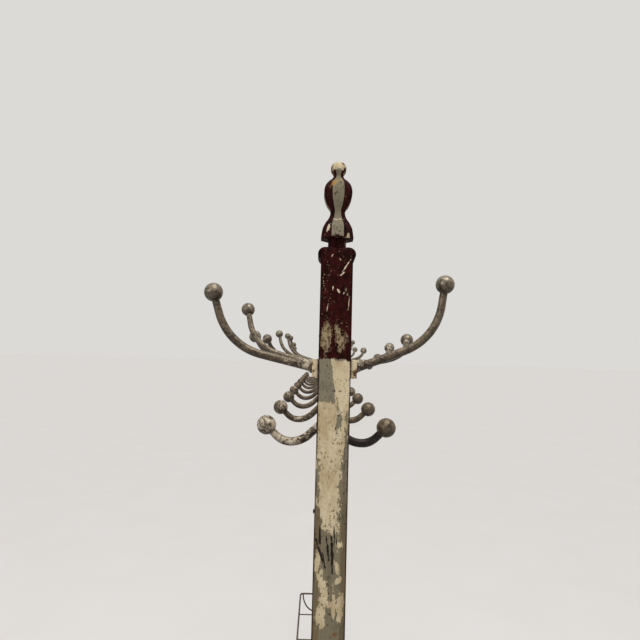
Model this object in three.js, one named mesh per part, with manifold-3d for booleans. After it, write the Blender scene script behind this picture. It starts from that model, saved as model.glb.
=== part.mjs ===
// A free-standing double-sided coat rack: two painted timber posts on cross feet, flat iron rails
// with swivelling wrought hooks above, fixed double hooks below, an umbrella rail and a drip tray.
// Millimetres. +Z is up, +Y runs along the rack, and the floor is z = 0 under the rack's middle.
import * as THREE from "three";
import { mergeVertices } from "three/addons/utils/BufferGeometryUtils.js";
import Module from "manifold-3d";

const wasm = await Module();
wasm.setup();

// ---------- Driving dimensions ----------
const GAP = 0.3; // between pieces that touch
const HEIGHT = 1858; // floor to the top of a finial ball
const HOOKS_PER_ROW = 10;
const HOOK_PITCH = 225;
const POST = 38; // square timber
const FIRST_HOOK_ROOM = 8; // from a post's inner face to the nearest hook pivot
const POST_ARRIS = 0.4; // eased edge on the square lengths
const POST_CHAMFER = 6.5; // stopped chamfer between the rails and the foot
const CHAMFER_STOP = 15; // length over which a chamfer fades out

const FINIAL = 244; // from the upper rail's top edge to the top of the ball
const FINIAL_STRIP = 14.4; // widest flat face on the finial's moulded section
const SHOULDER_HEIGHT = 16.8; // half-round moulding below the finial
const SHOULDER_WIDTH = 45.5;
const SHOULDER_INSET = 3; // behind the post's end faces

const RAIL_THICKNESS = 7;
const RAIL_HEIGHT = 22;
const RAIL_INSET = 3; // rail ends behind the posts' outer faces
const HOOK_AXIS_DROP = 10; // hook pivots below the upper rail's top edge

const ROD = 5.25; // hook rod radius
const BALL = 12; // hook ball radius
const ROD_SIDES = 8;
const TAIL = 4.05; // pivot radius behind the collar
const COLLAR = 8;
const COLLAR_THICKNESS = 3.4;
const PEEN = 7; // hammered head on the tail
const PEEN_THICKNESS = 3.2;
const ARM_RISE = 17; // degrees above level at the root
const ARM_STRAIGHT = 62.7;
const ARM_BEND = 75; // centreline radius
const ARM_TIP_ANGLE = 77;
const ARM_TIP = 27.5; // straight run into the ball's centre

const LOWER_RAIL_DROP = 78; // centre of the lower rail below the upper rail's top edge
const LOWER_RAIL_HEIGHT = 24;
const LOWER_RAIL_THICKNESS = 6;
const LOWER_RAIL_OFFSET = -7; // from the posts' centre plane
const LOWER_RAIL_TENON = 24; // depth let into each post
const LOWER_FLAT = 5; // level half-length through the rail
const LOWER_SLOPE = 44; // degrees down
const LOWER_SLOPE_RUN = 22.3;
const LOWER_DIP_BEND = 33;
const LOWER_LIFT_BEND = 26;
const LOWER_TIP_ANGLE = 45;
const LOWER_TIP = 17;

const FOOT_LENGTH = 440;
const FOOT_HEIGHT = 62;
const FOOT_THICKNESS = 46;
const FOOT_PAD = 70;
const FOOT_ARCH = 12;
const FOOT_TOE = 26;
const TENON = 24; // square tenon on the post's lower end
const TENON_DEPTH = 40;

const STRETCHER_WIDTH = 110;
const STRETCHER_THICKNESS = 22;
const STRETCHER_TOP = 104;
const STRETCHER_TENON = [24, 15, 12]; // width, depth into the post, thickness
const TRAY_WIDTH = 170;
const TRAY_HEIGHT = 28;
const TRAY_WALL = 2;
const TRAY_END_ROOM = 15; // between the tray and each post

const UMBRELLA_HEIGHT = 378; // rod centre above the floor
const UMBRELLA_WIDTH = 166; // rod centre to rod centre
const UMBRELLA_ROD = 4;
const UMBRELLA_CORNER = 16; // bend radius
const UMBRELLA_RETURN = 5; // straight run past each bend, up to the butt joint
const UMBRELLA_BAYS = 10;
const CROSS_ROD = 2.5;
const BRACKET_ROD = 3.4;
const BRACKET_HALF_SPAN = 69;
const BRACKET_DROP = 88;
const BRACKET_EYE = 9;
const SCREW = 2.2; // wood screw shank radius
const SCREW_HEAD = 4.6;
const SCREW_HEAD_RISE = 0.56; // height of a screw's head as a share of its radius
const SCREW_LENGTH = 22;
const SIDE_SCREW = 1.5;
const SIDE_SCREW_HEAD = 2.8;
const SIDE_SCREW_HEIGHT = 1436;
const BOLT = 3;
const BOLT_HEAD = 6.5;

// How far each upper hook has turned on its pivot, in degrees: positive leans towards +Y.
const LEFT_TURNS = [0, 18, -59, -56, 30, 80, 8, 0, 38, -52];
const RIGHT_TURNS = [0, 60, 66, 80, 95, 63, 85, 55, 15, 0];
const BENT_ARM = 4.2; // degrees by which the first pair of arms has been pushed off its rise

// ---------- Places worked out from them ----------
const RAIL_TOP = HEIGHT - FINIAL;
const HOOK_AXIS = RAIL_TOP - HOOK_AXIS_DROP;
const LOWER_RAIL = RAIL_TOP - LOWER_RAIL_DROP;
const HOOK_SPAN = HOOK_PITCH * (HOOKS_PER_ROW - 1);
const POST_FACE = POST / 2;
const POST_Y = HOOK_SPAN / 2 + FIRST_HOOK_ROOM + POST_FACE;
const RAIL_INNER = POST_FACE + GAP;
const RAIL_OUTER = RAIL_INNER + RAIL_THICKNESS;
const ARM_ROOT = RAIL_OUTER + GAP + COLLAR_THICKNESS;
const OUTER_FACE_Y = POST_Y + POST_FACE;
const INNER_FACE_Y = POST_Y - POST_FACE;
const UMBRELLA_END_Y = OUTER_FACE_Y + UMBRELLA_ROD + GAP;
const UMBRELLA_JOINT_Y = UMBRELLA_END_Y - UMBRELLA_CORNER - UMBRELLA_RETURN;

const POST_PAINT = { color: 0xa89a7c, roughness: 0.7, metalness: 0 };
const IRON_PAINT = { color: 0xb7a88b, roughness: 0.6, metalness: 0.2 };
const WORN_IRON = { color: 0x6d5b47, roughness: 0.5, metalness: 0.8 };
const DARK_IRON = { color: 0x4d4136, roughness: 0.5, metalness: 0.8 };
const BOLT_STEEL = { color: 0x3c2e26, roughness: 0.45, metalness: 0.9 };
const FOOT_PAINT = { color: 0x5b3a2c, roughness: 0.7, metalness: 0 };
const ZINC = { color: 0x8f918c, roughness: 0.45, metalness: 0.9 };

const rack = new THREE.Group();
rack.name = "coat_rack";

// ---------- Solids ----------
function solid(geometry) {
  const plain = geometry.clone();
  plain.deleteAttribute("normal");
  plain.deleteAttribute("uv");
  const merged = mergeVertices(plain, 1e-4);
  const corners = merged.index.array;
  const triVerts = [];
  for (let i = 0; i < corners.length; i += 3) {
    const [a, b, c] = corners.slice(i, i + 3);
    if (a !== b && b !== c && c !== a) triVerts.push(a, b, c);
  }
  return new wasm.Manifold(
    new wasm.Mesh({
      numProp: 3,
      vertProperties: merged.getAttribute("position").array,
      triVerts: new Uint32Array(triVerts),
    }),
  );
}

function addPiece(name, made, finish, place = new THREE.Vector3(), turn = 0) {
  const { vertProperties, triVerts } = made.getMesh();
  const geometry = new THREE.BufferGeometry();
  geometry.setAttribute("position", new THREE.BufferAttribute(new Float32Array(vertProperties), 3));
  geometry.setIndex(new THREE.BufferAttribute(new Uint32Array(triVerts), 1));
  geometry.computeVertexNormals();
  const mesh = new THREE.Mesh(geometry, new THREE.MeshStandardMaterial(finish));
  mesh.name = name;
  mesh.position.copy(place);
  mesh.rotation.x = turn;
  rack.add(mesh);
}

function box(width, length, height, x, y, z) {
  return solid(new THREE.BoxGeometry(width, length, height).translate(x, y, z));
}

// A drilled hole or round bar along X; the flats of a hole stand at its radius.
function barAlongX(radius, length, x, y, z, sides = ROD_SIDES) {
  const bar = new THREE.CylinderGeometry(radius, radius, length, sides).rotateZ(Math.PI / 2);
  return solid(bar.translate(x, y, z));
}

function holeAlongX(radius, length, x, y, z, sides) {
  return barAlongX(radius / Math.cos(Math.PI / sides), length, x, y, z, sides);
}

function holeAlongY(radius, length, x, y, z, sides = ROD_SIDES) {
  const corner = radius / Math.cos(Math.PI / sides);
  return solid(new THREE.CylinderGeometry(corner, corner, length, sides).translate(x, y, z));
}

// A turned shape about X, from pairs of radius and distance along the axis.
function turnedAboutX(profile, direction) {
  const points = profile.map(([radius, along]) => new THREE.Vector2(radius, along));
  const turned = new THREE.LatheGeometry(points, ROD_SIDES, Math.PI / ROD_SIDES);
  return solid(turned.rotateZ((-direction * Math.PI) / 2));
}

// A path through chosen stations, so that straight lengths cost one step and bends get several.
class Route extends THREE.Curve {
  constructor(stations) {
    super();
    this.stations = stations;
  }
  getSpacedPoints() {
    return this.stations.map((station) => station.clone());
  }
  getTangentAt(u, target = new THREE.Vector3()) {
    const last = this.stations.length - 1;
    const at = Math.round(u * last);
    const here = this.stations[at];
    const before = at > 0 ? here.clone().sub(this.stations[at - 1]).normalize() : new THREE.Vector3();
    const after = at < last ? this.stations[at + 1].clone().sub(here).normalize() : new THREE.Vector3();
    return target.copy(before.add(after).normalize());
  }
}

function rodAlong(stations, radius, sides = ROD_SIDES) {
  const section = new THREE.Shape();
  for (let i = 0; i < sides; i++) {
    const angle = ((i + 0.5) * 2 * Math.PI) / sides;
    const corner = [radius * Math.cos(angle), radius * Math.sin(angle)];
    if (i === 0) section.moveTo(...corner);
    else section.lineTo(...corner);
  }
  section.closePath();
  const path = new Route(stations);
  return solid(
    new THREE.ExtrudeGeometry(section, { steps: stations.length - 1, extrudePath: path, bevelEnabled: false }),
  );
}

// Stations of a bent rod in one plane: it starts at (x, z), and each leg is a straight run or a bend.
function bentStations(x, z, heading, legs) {
  const stations = [new THREE.Vector3(x, 0, z)];
  let angle = THREE.MathUtils.degToRad(heading);
  for (const leg of legs) {
    const step = leg.turn ? THREE.MathUtils.degToRad(leg.turn) / leg.steps : 0;
    const chord = leg.turn ? 2 * leg.radius * Math.sin(Math.abs(step) / 2) : leg.run;
    for (let i = 0; i < (leg.steps ?? 1); i++) {
      const along = angle + step / 2;
      x += chord * Math.cos(along);
      z += chord * Math.sin(along);
      angle += step;
      stations.push(new THREE.Vector3(x, 0, z));
    }
  }
  return stations;
}

// The ball on the end of a rod in the plane y = 0, its facets in line with the rod's.
function ballOn(stations) {
  const centre = stations[stations.length - 1];
  const inward = stations[stations.length - 2].clone().sub(centre);
  const ball = new THREE.SphereGeometry(BALL, ROD_SIDES, 6, Math.PI / ROD_SIDES).rotateX(Math.PI / 2);
  ball.rotateY(Math.atan2(inward.x, inward.z));
  return solid(ball.translate(centre.x, centre.y, centre.z));
}

// ---------- Posts ----------
// Height above the upper rail's top edge and full width of the finial's moulded section.
const FINIAL_PROFILE = [
  [134, 21.6],
  [145.5, 21.6],
  [145.8, 39.4],
  [150.4, 38.2],
  [158.5, 35.6],
  [165.8, 29],
  [173.8, 19.4],
  [179.8, 17.4],
  [186.8, 25.6],
  [195.5, 32.8],
  [206.3, 34.4],
  [214.4, 29.2],
  [220.2, 19.5],
  [225, 11.8],
];
const FINIAL_BALL = 9.5;

// Every ring of a post has four faces and four chamfers: [height, half width, half of the flat face].
function postRings() {
  const rings = [];
  const square = (z, half, arris) => rings.push([z, half, half - arris]);
  square(FOOT_HEIGHT - TENON_DEPTH, TENON / 2, POST_ARRIS);
  square(FOOT_HEIGHT + GAP, TENON / 2, POST_ARRIS);
  square(FOOT_HEIGHT + GAP, POST_FACE, POST_ARRIS);
  const chamferFoot = 150;
  const chamferTop = RAIL_TOP - 90;
  square(chamferFoot, POST_FACE, POST_ARRIS);
  square(chamferFoot + CHAMFER_STOP, POST_FACE, POST_CHAMFER);
  square(chamferTop - CHAMFER_STOP, POST_FACE, POST_CHAMFER);
  square(chamferTop, POST_FACE, POST_ARRIS);
  square(RAIL_TOP + 116.5, POST_FACE, POST_ARRIS);
  square(RAIL_TOP + 117.5, POST_FACE - SHOULDER_INSET - 1, POST_ARRIS);
  square(RAIL_TOP + 132.5, POST_FACE - SHOULDER_INSET - 1, POST_ARRIS);
  const octagon = Math.tan(Math.PI / 8);
  const moulded = (z, half) => rings.push([z, half, Math.min(FINIAL_STRIP / 2, half * octagon)]);
  for (const [height, width] of FINIAL_PROFILE) moulded(RAIL_TOP + height, width / 2);
  const ballCentre = HEIGHT - FINIAL_BALL;
  for (const latitude of [-40, 0, 40, 72]) {
    const angle = THREE.MathUtils.degToRad(latitude);
    moulded(ballCentre + FINIAL_BALL * Math.sin(angle), FINIAL_BALL * Math.cos(angle));
  }
  rings.push([HEIGHT, 0, 0]);
  rings.unshift([rings[0][0], 0, 0]);
  return rings;
}

function postBody() {
  const rings = postRings();
  const toCorner = 1 / Math.cos(Math.PI / 8);
  const profile = rings.map(([z, half]) => new THREE.Vector2(half * toCorner, z));
  const turned = new THREE.LatheGeometry(profile, 8, Math.PI / 8);
  const at = turned.getAttribute("position");
  for (let i = 0; i < at.count; i++) {
    const flat = rings[i % rings.length][2];
    if (Math.abs(at.getX(i)) < Math.abs(at.getZ(i))) at.setX(i, Math.sign(at.getX(i)) * flat);
    else at.setZ(i, Math.sign(at.getZ(i)) * flat);
  }
  return solid(turned.rotateX(Math.PI / 2));
}

// The half-round moulding between the square post and the finial stands proud of its two side faces.
function shoulder() {
  const radius = SHOULDER_HEIGHT / 2;
  const reach = SHOULDER_WIDTH / 2 - radius;
  const outline = new THREE.Shape();
  outline.moveTo(-reach, -radius);
  outline.lineTo(reach, -radius);
  outline.absarc(reach, 0, radius, -Math.PI / 2, Math.PI / 2);
  outline.lineTo(-reach, radius);
  outline.absarc(-reach, 0, radius, Math.PI / 2, (3 * Math.PI) / 2);
  const depth = POST - 2 * SHOULDER_INSET;
  const bar = new THREE.ExtrudeGeometry(outline, { depth, bevelEnabled: false, curveSegments: 6 });
  return solid(bar.rotateX(Math.PI / 2).translate(0, depth / 2, RAIL_TOP + 125.2));
}

function addPost(name, end) {
  const y = end * POST_Y;
  const inward = -end;
  const lowerRailTenon = LOWER_RAIL_TENON + GAP;
  const [tenonWidth, tenonDepth, tenonThickness] = STRETCHER_TENON;
  const inner = y + inward * POST_FACE;
  const outer = y - inward * POST_FACE;
  let post = postBody().add(shoulder()).translate([0, y, 0]);
  post = post.subtract(
    box(
      LOWER_RAIL_THICKNESS + 2 * GAP,
      2 * lowerRailTenon,
      LOWER_RAIL_HEIGHT + 2 * GAP,
      LOWER_RAIL_OFFSET,
      inner,
      LOWER_RAIL,
    ),
  );
  post = post.subtract(
    box(
      tenonWidth + 2 * GAP,
      2 * (tenonDepth + GAP),
      tenonThickness + 2 * GAP,
      0,
      inner,
      STRETCHER_TOP - STRETCHER_THICKNESS / 2,
    ),
  );
  post = post.subtract(holeAlongX(BOLT + GAP, POST + 2, 0, y, HOOK_AXIS, ROD_SIDES));
  const holeLength = 2 * SCREW_LENGTH;
  post = post.subtract(holeAlongY(SCREW + GAP, holeLength, 0, outer, UMBRELLA_HEIGHT - BRACKET_DROP));
  if (end < 0) {
    const side = -POST_FACE;
    post = post.subtract(holeAlongX(SIDE_SCREW + GAP, holeLength, side, y, SIDE_SCREW_HEIGHT, ROD_SIDES));
  }
  addPiece(name, post, POST_PAINT);
}

// ---------- Feet, stretcher and tray ----------
function addFoot(name, end) {
  const half = FOOT_LENGTH / 2;
  const padEnd = half - FOOT_PAD;
  const flatTop = 60;
  const outline = new THREE.Shape();
  outline.moveTo(-half, 0);
  outline.lineTo(-padEnd, 0);
  outline.quadraticCurveTo(-padEnd + 8, FOOT_ARCH, -padEnd + 28, FOOT_ARCH);
  outline.lineTo(padEnd - 28, FOOT_ARCH);
  outline.quadraticCurveTo(padEnd - 8, FOOT_ARCH, padEnd, 0);
  outline.lineTo(half, 0);
  outline.lineTo(half, FOOT_TOE);
  outline.bezierCurveTo(half - 50, FOOT_TOE + 4, flatTop + 60, FOOT_HEIGHT - 2, flatTop, FOOT_HEIGHT);
  outline.lineTo(-flatTop, FOOT_HEIGHT);
  outline.bezierCurveTo(-flatTop - 60, FOOT_HEIGHT - 2, -half + 50, FOOT_TOE + 4, -half, FOOT_TOE);
  const timber = new THREE.ExtrudeGeometry(outline, {
    depth: FOOT_THICKNESS,
    bevelEnabled: false,
    curveSegments: 6,
  });
  timber.rotateX(Math.PI / 2).translate(0, FOOT_THICKNESS / 2, 0);
  const mortise = TENON + 2 * GAP;
  const depth = 2 * (TENON_DEPTH + GAP);
  const foot = solid(timber).subtract(box(mortise, mortise, depth, 0, 0, FOOT_HEIGHT));
  addPiece(name, foot, FOOT_PAINT, new THREE.Vector3(0, end * POST_Y, 0));
}

function addStretcher() {
  const [width, depth, thickness] = STRETCHER_TENON;
  const middle = STRETCHER_TOP - STRETCHER_THICKNESS / 2;
  const length = 2 * (INNER_FACE_Y - GAP);
  const board = box(STRETCHER_WIDTH, length, STRETCHER_THICKNESS, 0, 0, middle);
  const tenons = box(width, 2 * (INNER_FACE_Y + depth), thickness, 0, 0, middle);
  addPiece("stretcher", board.add(tenons), FOOT_PAINT);
}

function addTray() {
  const length = 2 * (INNER_FACE_Y - TRAY_END_ROOM);
  const floor = STRETCHER_TOP + GAP;
  const shell = box(TRAY_WIDTH, length, TRAY_HEIGHT, 0, 0, floor + TRAY_HEIGHT / 2);
  const room = box(
    TRAY_WIDTH - 2 * TRAY_WALL,
    length - 2 * TRAY_WALL,
    2 * (TRAY_HEIGHT - TRAY_WALL),
    0,
    0,
    floor + TRAY_HEIGHT,
  );
  addPiece("drip_tray", shell.subtract(room), ZINC);
}

// ---------- Rails ----------
function hookY(station) {
  return station * HOOK_PITCH - HOOK_SPAN / 2;
}

function addUpperRail(name, side) {
  const middle = side * (RAIL_INNER + RAIL_THICKNESS / 2);
  let rail = box(
    RAIL_THICKNESS,
    2 * (OUTER_FACE_Y - RAIL_INSET),
    RAIL_HEIGHT,
    middle,
    0,
    RAIL_TOP - RAIL_HEIGHT / 2,
  );
  const through = RAIL_THICKNESS + 2;
  for (let i = 0; i < HOOKS_PER_ROW; i++) {
    rail = rail.subtract(holeAlongX(TAIL + 0.08, through, middle, hookY(i), HOOK_AXIS, ROD_SIDES));
  }
  for (const end of [-1, 1]) {
    rail = rail.subtract(holeAlongX(BOLT + GAP, through, middle, end * POST_Y, HOOK_AXIS, ROD_SIDES));
  }
  addPiece(name, rail, IRON_PAINT);
}

function addLowerRail() {
  const length = 2 * (INNER_FACE_Y + LOWER_RAIL_TENON);
  let rail = box(LOWER_RAIL_THICKNESS, length, LOWER_RAIL_HEIGHT, LOWER_RAIL_OFFSET, 0, LOWER_RAIL);
  for (let i = 0; i < HOOKS_PER_ROW; i++) {
    const through = LOWER_RAIL_THICKNESS + 2;
    rail = rail.subtract(holeAlongX(ROD + GAP, through, LOWER_RAIL_OFFSET, hookY(i), LOWER_RAIL, ROD_SIDES));
  }
  addPiece("lower_rail", rail, IRON_PAINT);
}

function addRailBolt(name, end) {
  const headBase = RAIL_OUTER + GAP;
  let bolt = barAlongX(BOLT, 2 * headBase, 0, 0, 0);
  for (const side of [-1, 1]) {
    const dome = turnedAboutX(
      [
        [0, headBase],
        [BOLT_HEAD, headBase],
        [BOLT_HEAD * 0.85, headBase + 2.2],
        [BOLT_HEAD * 0.4, headBase + 3.6],
        [0, headBase + 3.6],
      ],
      side,
    );
    bolt = bolt.add(dome);
  }
  addPiece(name, bolt, BOLT_STEEL, new THREE.Vector3(0, end * POST_Y, HOOK_AXIS));
}

// ---------- Hooks ----------
// A wrought arm with its collar, pivot tail and hammered head, in the plane y = 0 with the pivot on X.
function upperHook(side, rise) {
  const tail = turnedAboutX(
    [
      [0, POST_FACE - PEEN_THICKNESS],
      [PEEN, POST_FACE - PEEN_THICKNESS / 2],
      [PEEN, POST_FACE],
      [TAIL, POST_FACE],
      [TAIL, RAIL_OUTER + GAP],
      [COLLAR, RAIL_OUTER + GAP],
      [ROD + 1, ARM_ROOT],
      [0, ARM_ROOT],
    ],
    side,
  );
  const stations = bentStations(0, 0, rise, [
    { run: ARM_STRAIGHT },
    { turn: ARM_TIP_ANGLE - ARM_RISE, radius: ARM_BEND, steps: 4 },
    { run: ARM_TIP },
  ]);
  const start = stations[1].clone().setLength(-2);
  stations[0].copy(start);
  for (const station of stations) station.x = side * (station.x + ARM_ROOT);
  return tail.add(rodAlong(stations, ROD)).add(ballOn(stations));
}

function addUpperHooks(row, side, turns) {
  turns.forEach((lean, i) => {
    const rise = ARM_RISE + (i === 0 ? side * BENT_ARM : 0);
    const number = String(i + 1).padStart(2, "0");
    const place = new THREE.Vector3(0, hookY(i), HOOK_AXIS);
    const turn = THREE.MathUtils.degToRad(-lean);
    addPiece(`upper_hook_${row}_${number}`, upperHook(side, rise), WORN_IRON, place, turn);
  });
}

// One rod with a ball at each end, bent into two shallow hooks either side of the lower rail.
function lowerHook() {
  const legs = [
    { run: LOWER_FLAT },
    { run: LOWER_SLOPE_RUN },
    { turn: LOWER_SLOPE, radius: LOWER_DIP_BEND, steps: 2 },
    { turn: LOWER_TIP_ANGLE, radius: LOWER_LIFT_BEND, steps: 2 },
    { run: LOWER_TIP },
  ];
  const level = bentStations(0, 0, 0, legs.slice(0, 1));
  const arm = bentStations(LOWER_FLAT, 0, -LOWER_SLOPE, legs.slice(1));
  const right = [level[1], ...arm.slice(1)];
  const left = right.map((station) => new THREE.Vector3(-station.x, 0, station.z)).reverse();
  const rod = [...left, ...right];
  return rodAlong(rod, ROD).add(ballOn(rod)).add(ballOn([...rod].reverse()));
}

function addLowerHooks() {
  for (let i = 0; i < HOOKS_PER_ROW; i++) {
    const number = String(i + 1).padStart(2, "0");
    const place = new THREE.Vector3(LOWER_RAIL_OFFSET, hookY(i), LOWER_RAIL);
    addPiece(`lower_hook_${number}`, lowerHook(), WORN_IRON, place);
  }
}

// ---------- Umbrella rail ----------
function addUmbrellaSide(name, side) {
  const reach = UMBRELLA_JOINT_Y - GAP / 2;
  const x = (side * UMBRELLA_WIDTH) / 2;
  const stations = [new THREE.Vector3(x, -reach, 0), new THREE.Vector3(x, reach, 0)];
  addPiece(name, rodAlong(stations, UMBRELLA_ROD), DARK_IRON, new THREE.Vector3(0, 0, UMBRELLA_HEIGHT));
}

// The rod across one end turns back at both corners to meet the side rods.
function addUmbrellaEnd(name, end) {
  const reach = UMBRELLA_WIDTH / 2;
  const half = [];
  for (const degrees of [0, 30, 60, 90]) {
    const angle = THREE.MathUtils.degToRad(degrees);
    const x = reach - UMBRELLA_CORNER * (1 - Math.sin(angle));
    const y = UMBRELLA_END_Y - UMBRELLA_CORNER * (1 - Math.cos(angle));
    half.push(new THREE.Vector3(x, end * y, 0));
  }
  half.push(new THREE.Vector3(reach, end * (UMBRELLA_JOINT_Y + GAP / 2), 0));
  const mirrored = half.map((station) => new THREE.Vector3(-station.x, station.y, 0)).reverse();
  const bar = rodAlong([...mirrored, ...half], UMBRELLA_ROD);
  addPiece(name, bar, DARK_IRON, new THREE.Vector3(0, 0, UMBRELLA_HEIGHT));
}

function addUmbrellaCrossRods() {
  const bay = (2 * UMBRELLA_END_Y) / UMBRELLA_BAYS;
  const length = UMBRELLA_WIDTH - 2 * (UMBRELLA_ROD + GAP);
  for (let i = 1; i < UMBRELLA_BAYS; i++) {
    const number = String(i).padStart(2, "0");
    const place = new THREE.Vector3(0, -UMBRELLA_END_Y + i * bay, UMBRELLA_HEIGHT);
    addPiece(`umbrella_cross_${number}`, barAlongX(CROSS_ROD, length, 0, 0, 0), DARK_IRON, place);
  }
}

// A curved rod below the end of the umbrella rail, with a drilled eye screwed to the post's outer face.
function addUmbrellaBracket(name, end) {
  const stations = [];
  const steps = 12;
  const drop = BRACKET_DROP;
  const top = -(UMBRELLA_ROD + GAP);
  for (let i = 0; i <= steps; i++) {
    const angle = (Math.PI * i) / steps;
    const z = top - (drop + top) * Math.sin(angle);
    stations.push(new THREE.Vector3(-BRACKET_HALF_SPAN * Math.cos(angle), 0, z));
  }
  const eye = new THREE.CylinderGeometry(BRACKET_EYE, BRACKET_EYE, 2 * BRACKET_ROD, 12).translate(0, 0, -drop);
  const hole = holeAlongY(SCREW + GAP, 4 * BRACKET_ROD, 0, 0, -drop);
  const bracket = rodAlong(stations, BRACKET_ROD).add(solid(eye)).subtract(hole);
  const y = end * (OUTER_FACE_Y + GAP + BRACKET_ROD);
  addPiece(name, bracket, DARK_IRON, new THREE.Vector3(0, y, UMBRELLA_HEIGHT));
}

// A round-headed wood screw along X, its head's underside at x = 0 and its point towards +X.
function woodScrew(shank, head) {
  const headRise = SCREW_HEAD_RISE * head;
  const point = SCREW_LENGTH - 2;
  return turnedAboutX(
    [
      [0, -headRise],
      [head * 0.5, -headRise],
      [head, -0.4 * headRise],
      [head, 0],
      [shank, 0],
      [shank, point - 4],
      [0, point],
    ],
    1,
  );
}

function addBracketScrew(name, end) {
  const headBase = OUTER_FACE_Y + 2 * BRACKET_ROD + 2 * GAP;
  const screw = woodScrew(SCREW, SCREW_HEAD).rotate([0, 0, end > 0 ? -90 : 90]);
  addPiece(name, screw, BOLT_STEEL, new THREE.Vector3(0, end * headBase, UMBRELLA_HEIGHT - BRACKET_DROP));
}

function addSideScrew() {
  const place = new THREE.Vector3(-POST_FACE - GAP, -POST_Y, SIDE_SCREW_HEIGHT);
  addPiece("side_screw", woodScrew(SIDE_SCREW, SIDE_SCREW_HEAD), BOLT_STEEL, place);
}

// ---------- Assembly ----------
addPost("near_post", -1);
addPost("far_post", 1);
addFoot("near_foot", -1);
addFoot("far_foot", 1);
addStretcher();
addTray();
addUpperRail("upper_rail_left", -1);
addUpperRail("upper_rail_right", 1);
addLowerRail();
addRailBolt("near_rail_bolt", -1);
addRailBolt("far_rail_bolt", 1);
addUpperHooks("left", -1, LEFT_TURNS);
addUpperHooks("right", 1, RIGHT_TURNS);
addLowerHooks();
addUmbrellaSide("umbrella_side_left", -1);
addUmbrellaSide("umbrella_side_right", 1);
addUmbrellaEnd("umbrella_end_near", -1);
addUmbrellaEnd("umbrella_end_far", 1);
addUmbrellaCrossRods();
addUmbrellaBracket("near_umbrella_bracket", -1);
addUmbrellaBracket("far_umbrella_bracket", 1);
addBracketScrew("near_bracket_screw", -1);
addBracketScrew("far_bracket_screw", 1);
addSideScrew();

export default rack;
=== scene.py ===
"""Builds the visual model of a free-standing, double-sided cloakroom rack in layered old paint.

Metres, +Z up, +Y along the rack. Heights on a post are measured from the upper rails' top edge.
"""

import math
import random

import bmesh
import bpy
from mathutils import Matrix, Vector


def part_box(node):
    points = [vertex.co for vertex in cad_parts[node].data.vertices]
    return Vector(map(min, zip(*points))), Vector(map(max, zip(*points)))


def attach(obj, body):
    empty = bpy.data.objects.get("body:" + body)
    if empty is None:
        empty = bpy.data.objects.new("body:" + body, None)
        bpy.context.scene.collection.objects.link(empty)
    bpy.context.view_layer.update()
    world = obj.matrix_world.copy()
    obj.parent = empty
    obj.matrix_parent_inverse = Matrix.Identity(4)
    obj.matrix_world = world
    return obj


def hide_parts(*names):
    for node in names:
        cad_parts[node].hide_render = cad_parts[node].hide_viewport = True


bl_info = {
    "name": "Cloakroom rack",
    "version": (1, 0, 0),
    "blender": (4, 5, 0),
    "location": "View3D > Sidebar > Rack",
    "description": "Timber posts, flat rails, wrought hooks, an umbrella rail and a drip tray",
    "category": "Add Mesh",
}

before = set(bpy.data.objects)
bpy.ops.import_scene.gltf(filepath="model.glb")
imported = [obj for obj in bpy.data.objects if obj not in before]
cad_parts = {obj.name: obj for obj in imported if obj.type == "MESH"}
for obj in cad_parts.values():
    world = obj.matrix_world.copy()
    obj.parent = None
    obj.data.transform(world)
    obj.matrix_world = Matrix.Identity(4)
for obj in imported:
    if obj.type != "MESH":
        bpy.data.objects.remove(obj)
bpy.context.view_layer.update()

MM = 0.001
FRAME_BODY = "frame"
STATIONS = range(1, 11)
ROWS = {"left": -1, "right": 1}
ENDS = {"near": -1, "far": 1}

# ---------- Places read from the frame ----------


def middle(node):
    """Centre of a CAD node's box."""
    low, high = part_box(node)
    return (low + high) / 2


def span(node):
    """Lengths of a CAD node's box along X, Y and Z."""
    low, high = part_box(node)
    return high - low


RAIL_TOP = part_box("upper_rail_left")[1].z
POST_Y = middle("far_foot").y
POST_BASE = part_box("far_foot")[1].z
POST_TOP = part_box("far_post")[1].z
POST_HALF = 19 * MM
HOOK_AXIS = middle("far_rail_bolt").z
RAIL_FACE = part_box("upper_rail_right")[1].x
LOWER_RAIL = middle("lower_rail")


def station_y(number):
    """Place of a hook pair along the rack."""
    return middle(f"lower_hook_{number:02d}").y


# ---------- Settings ----------


class RackSizes(bpy.types.PropertyGroup):
    """Sizes of the forged and moulded parts."""

    chamfer: bpy.props.FloatProperty(
        name="Chamfer", description="Width of the stopped chamfers", default=6.5 * MM, unit="LENGTH"
    )
    arris: bpy.props.FloatProperty(
        name="Arris", description="Rounding of the timber's edges", default=0.6 * MM, unit="LENGTH"
    )
    strip: bpy.props.FloatProperty(
        name="Finial strip", description="Flat face of the finial", default=14.4 * MM, unit="LENGTH"
    )
    rod: bpy.props.FloatProperty(
        name="Hook rod", description="Radius of the hook rods", default=5.25 * MM, unit="LENGTH"
    )
    ball: bpy.props.FloatProperty(
        name="Hook ball", description="Radius of the balls", default=12 * MM, unit="LENGTH"
    )
    hammer: bpy.props.FloatProperty(
        name="Hammer marks", description="Depth of the forging marks", default=0.22 * MM, unit="LENGTH"
    )
    umbrella_rod: bpy.props.FloatProperty(
        name="Umbrella rod", description="Radius of the frame rod", default=4 * MM, unit="LENGTH"
    )
    cross_rod: bpy.props.FloatProperty(
        name="Cross rod", description="Radius of the cross rods", default=2.5 * MM, unit="LENGTH"
    )


def colour(name, hex_code):
    """A colour property whose default is an sRGB hex code."""
    return bpy.props.FloatVectorProperty(
        name=name,
        description=f"Colour of the {name.lower()}",
        subtype="COLOR",
        size=4,
        default=linear(hex_code),
    )


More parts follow.
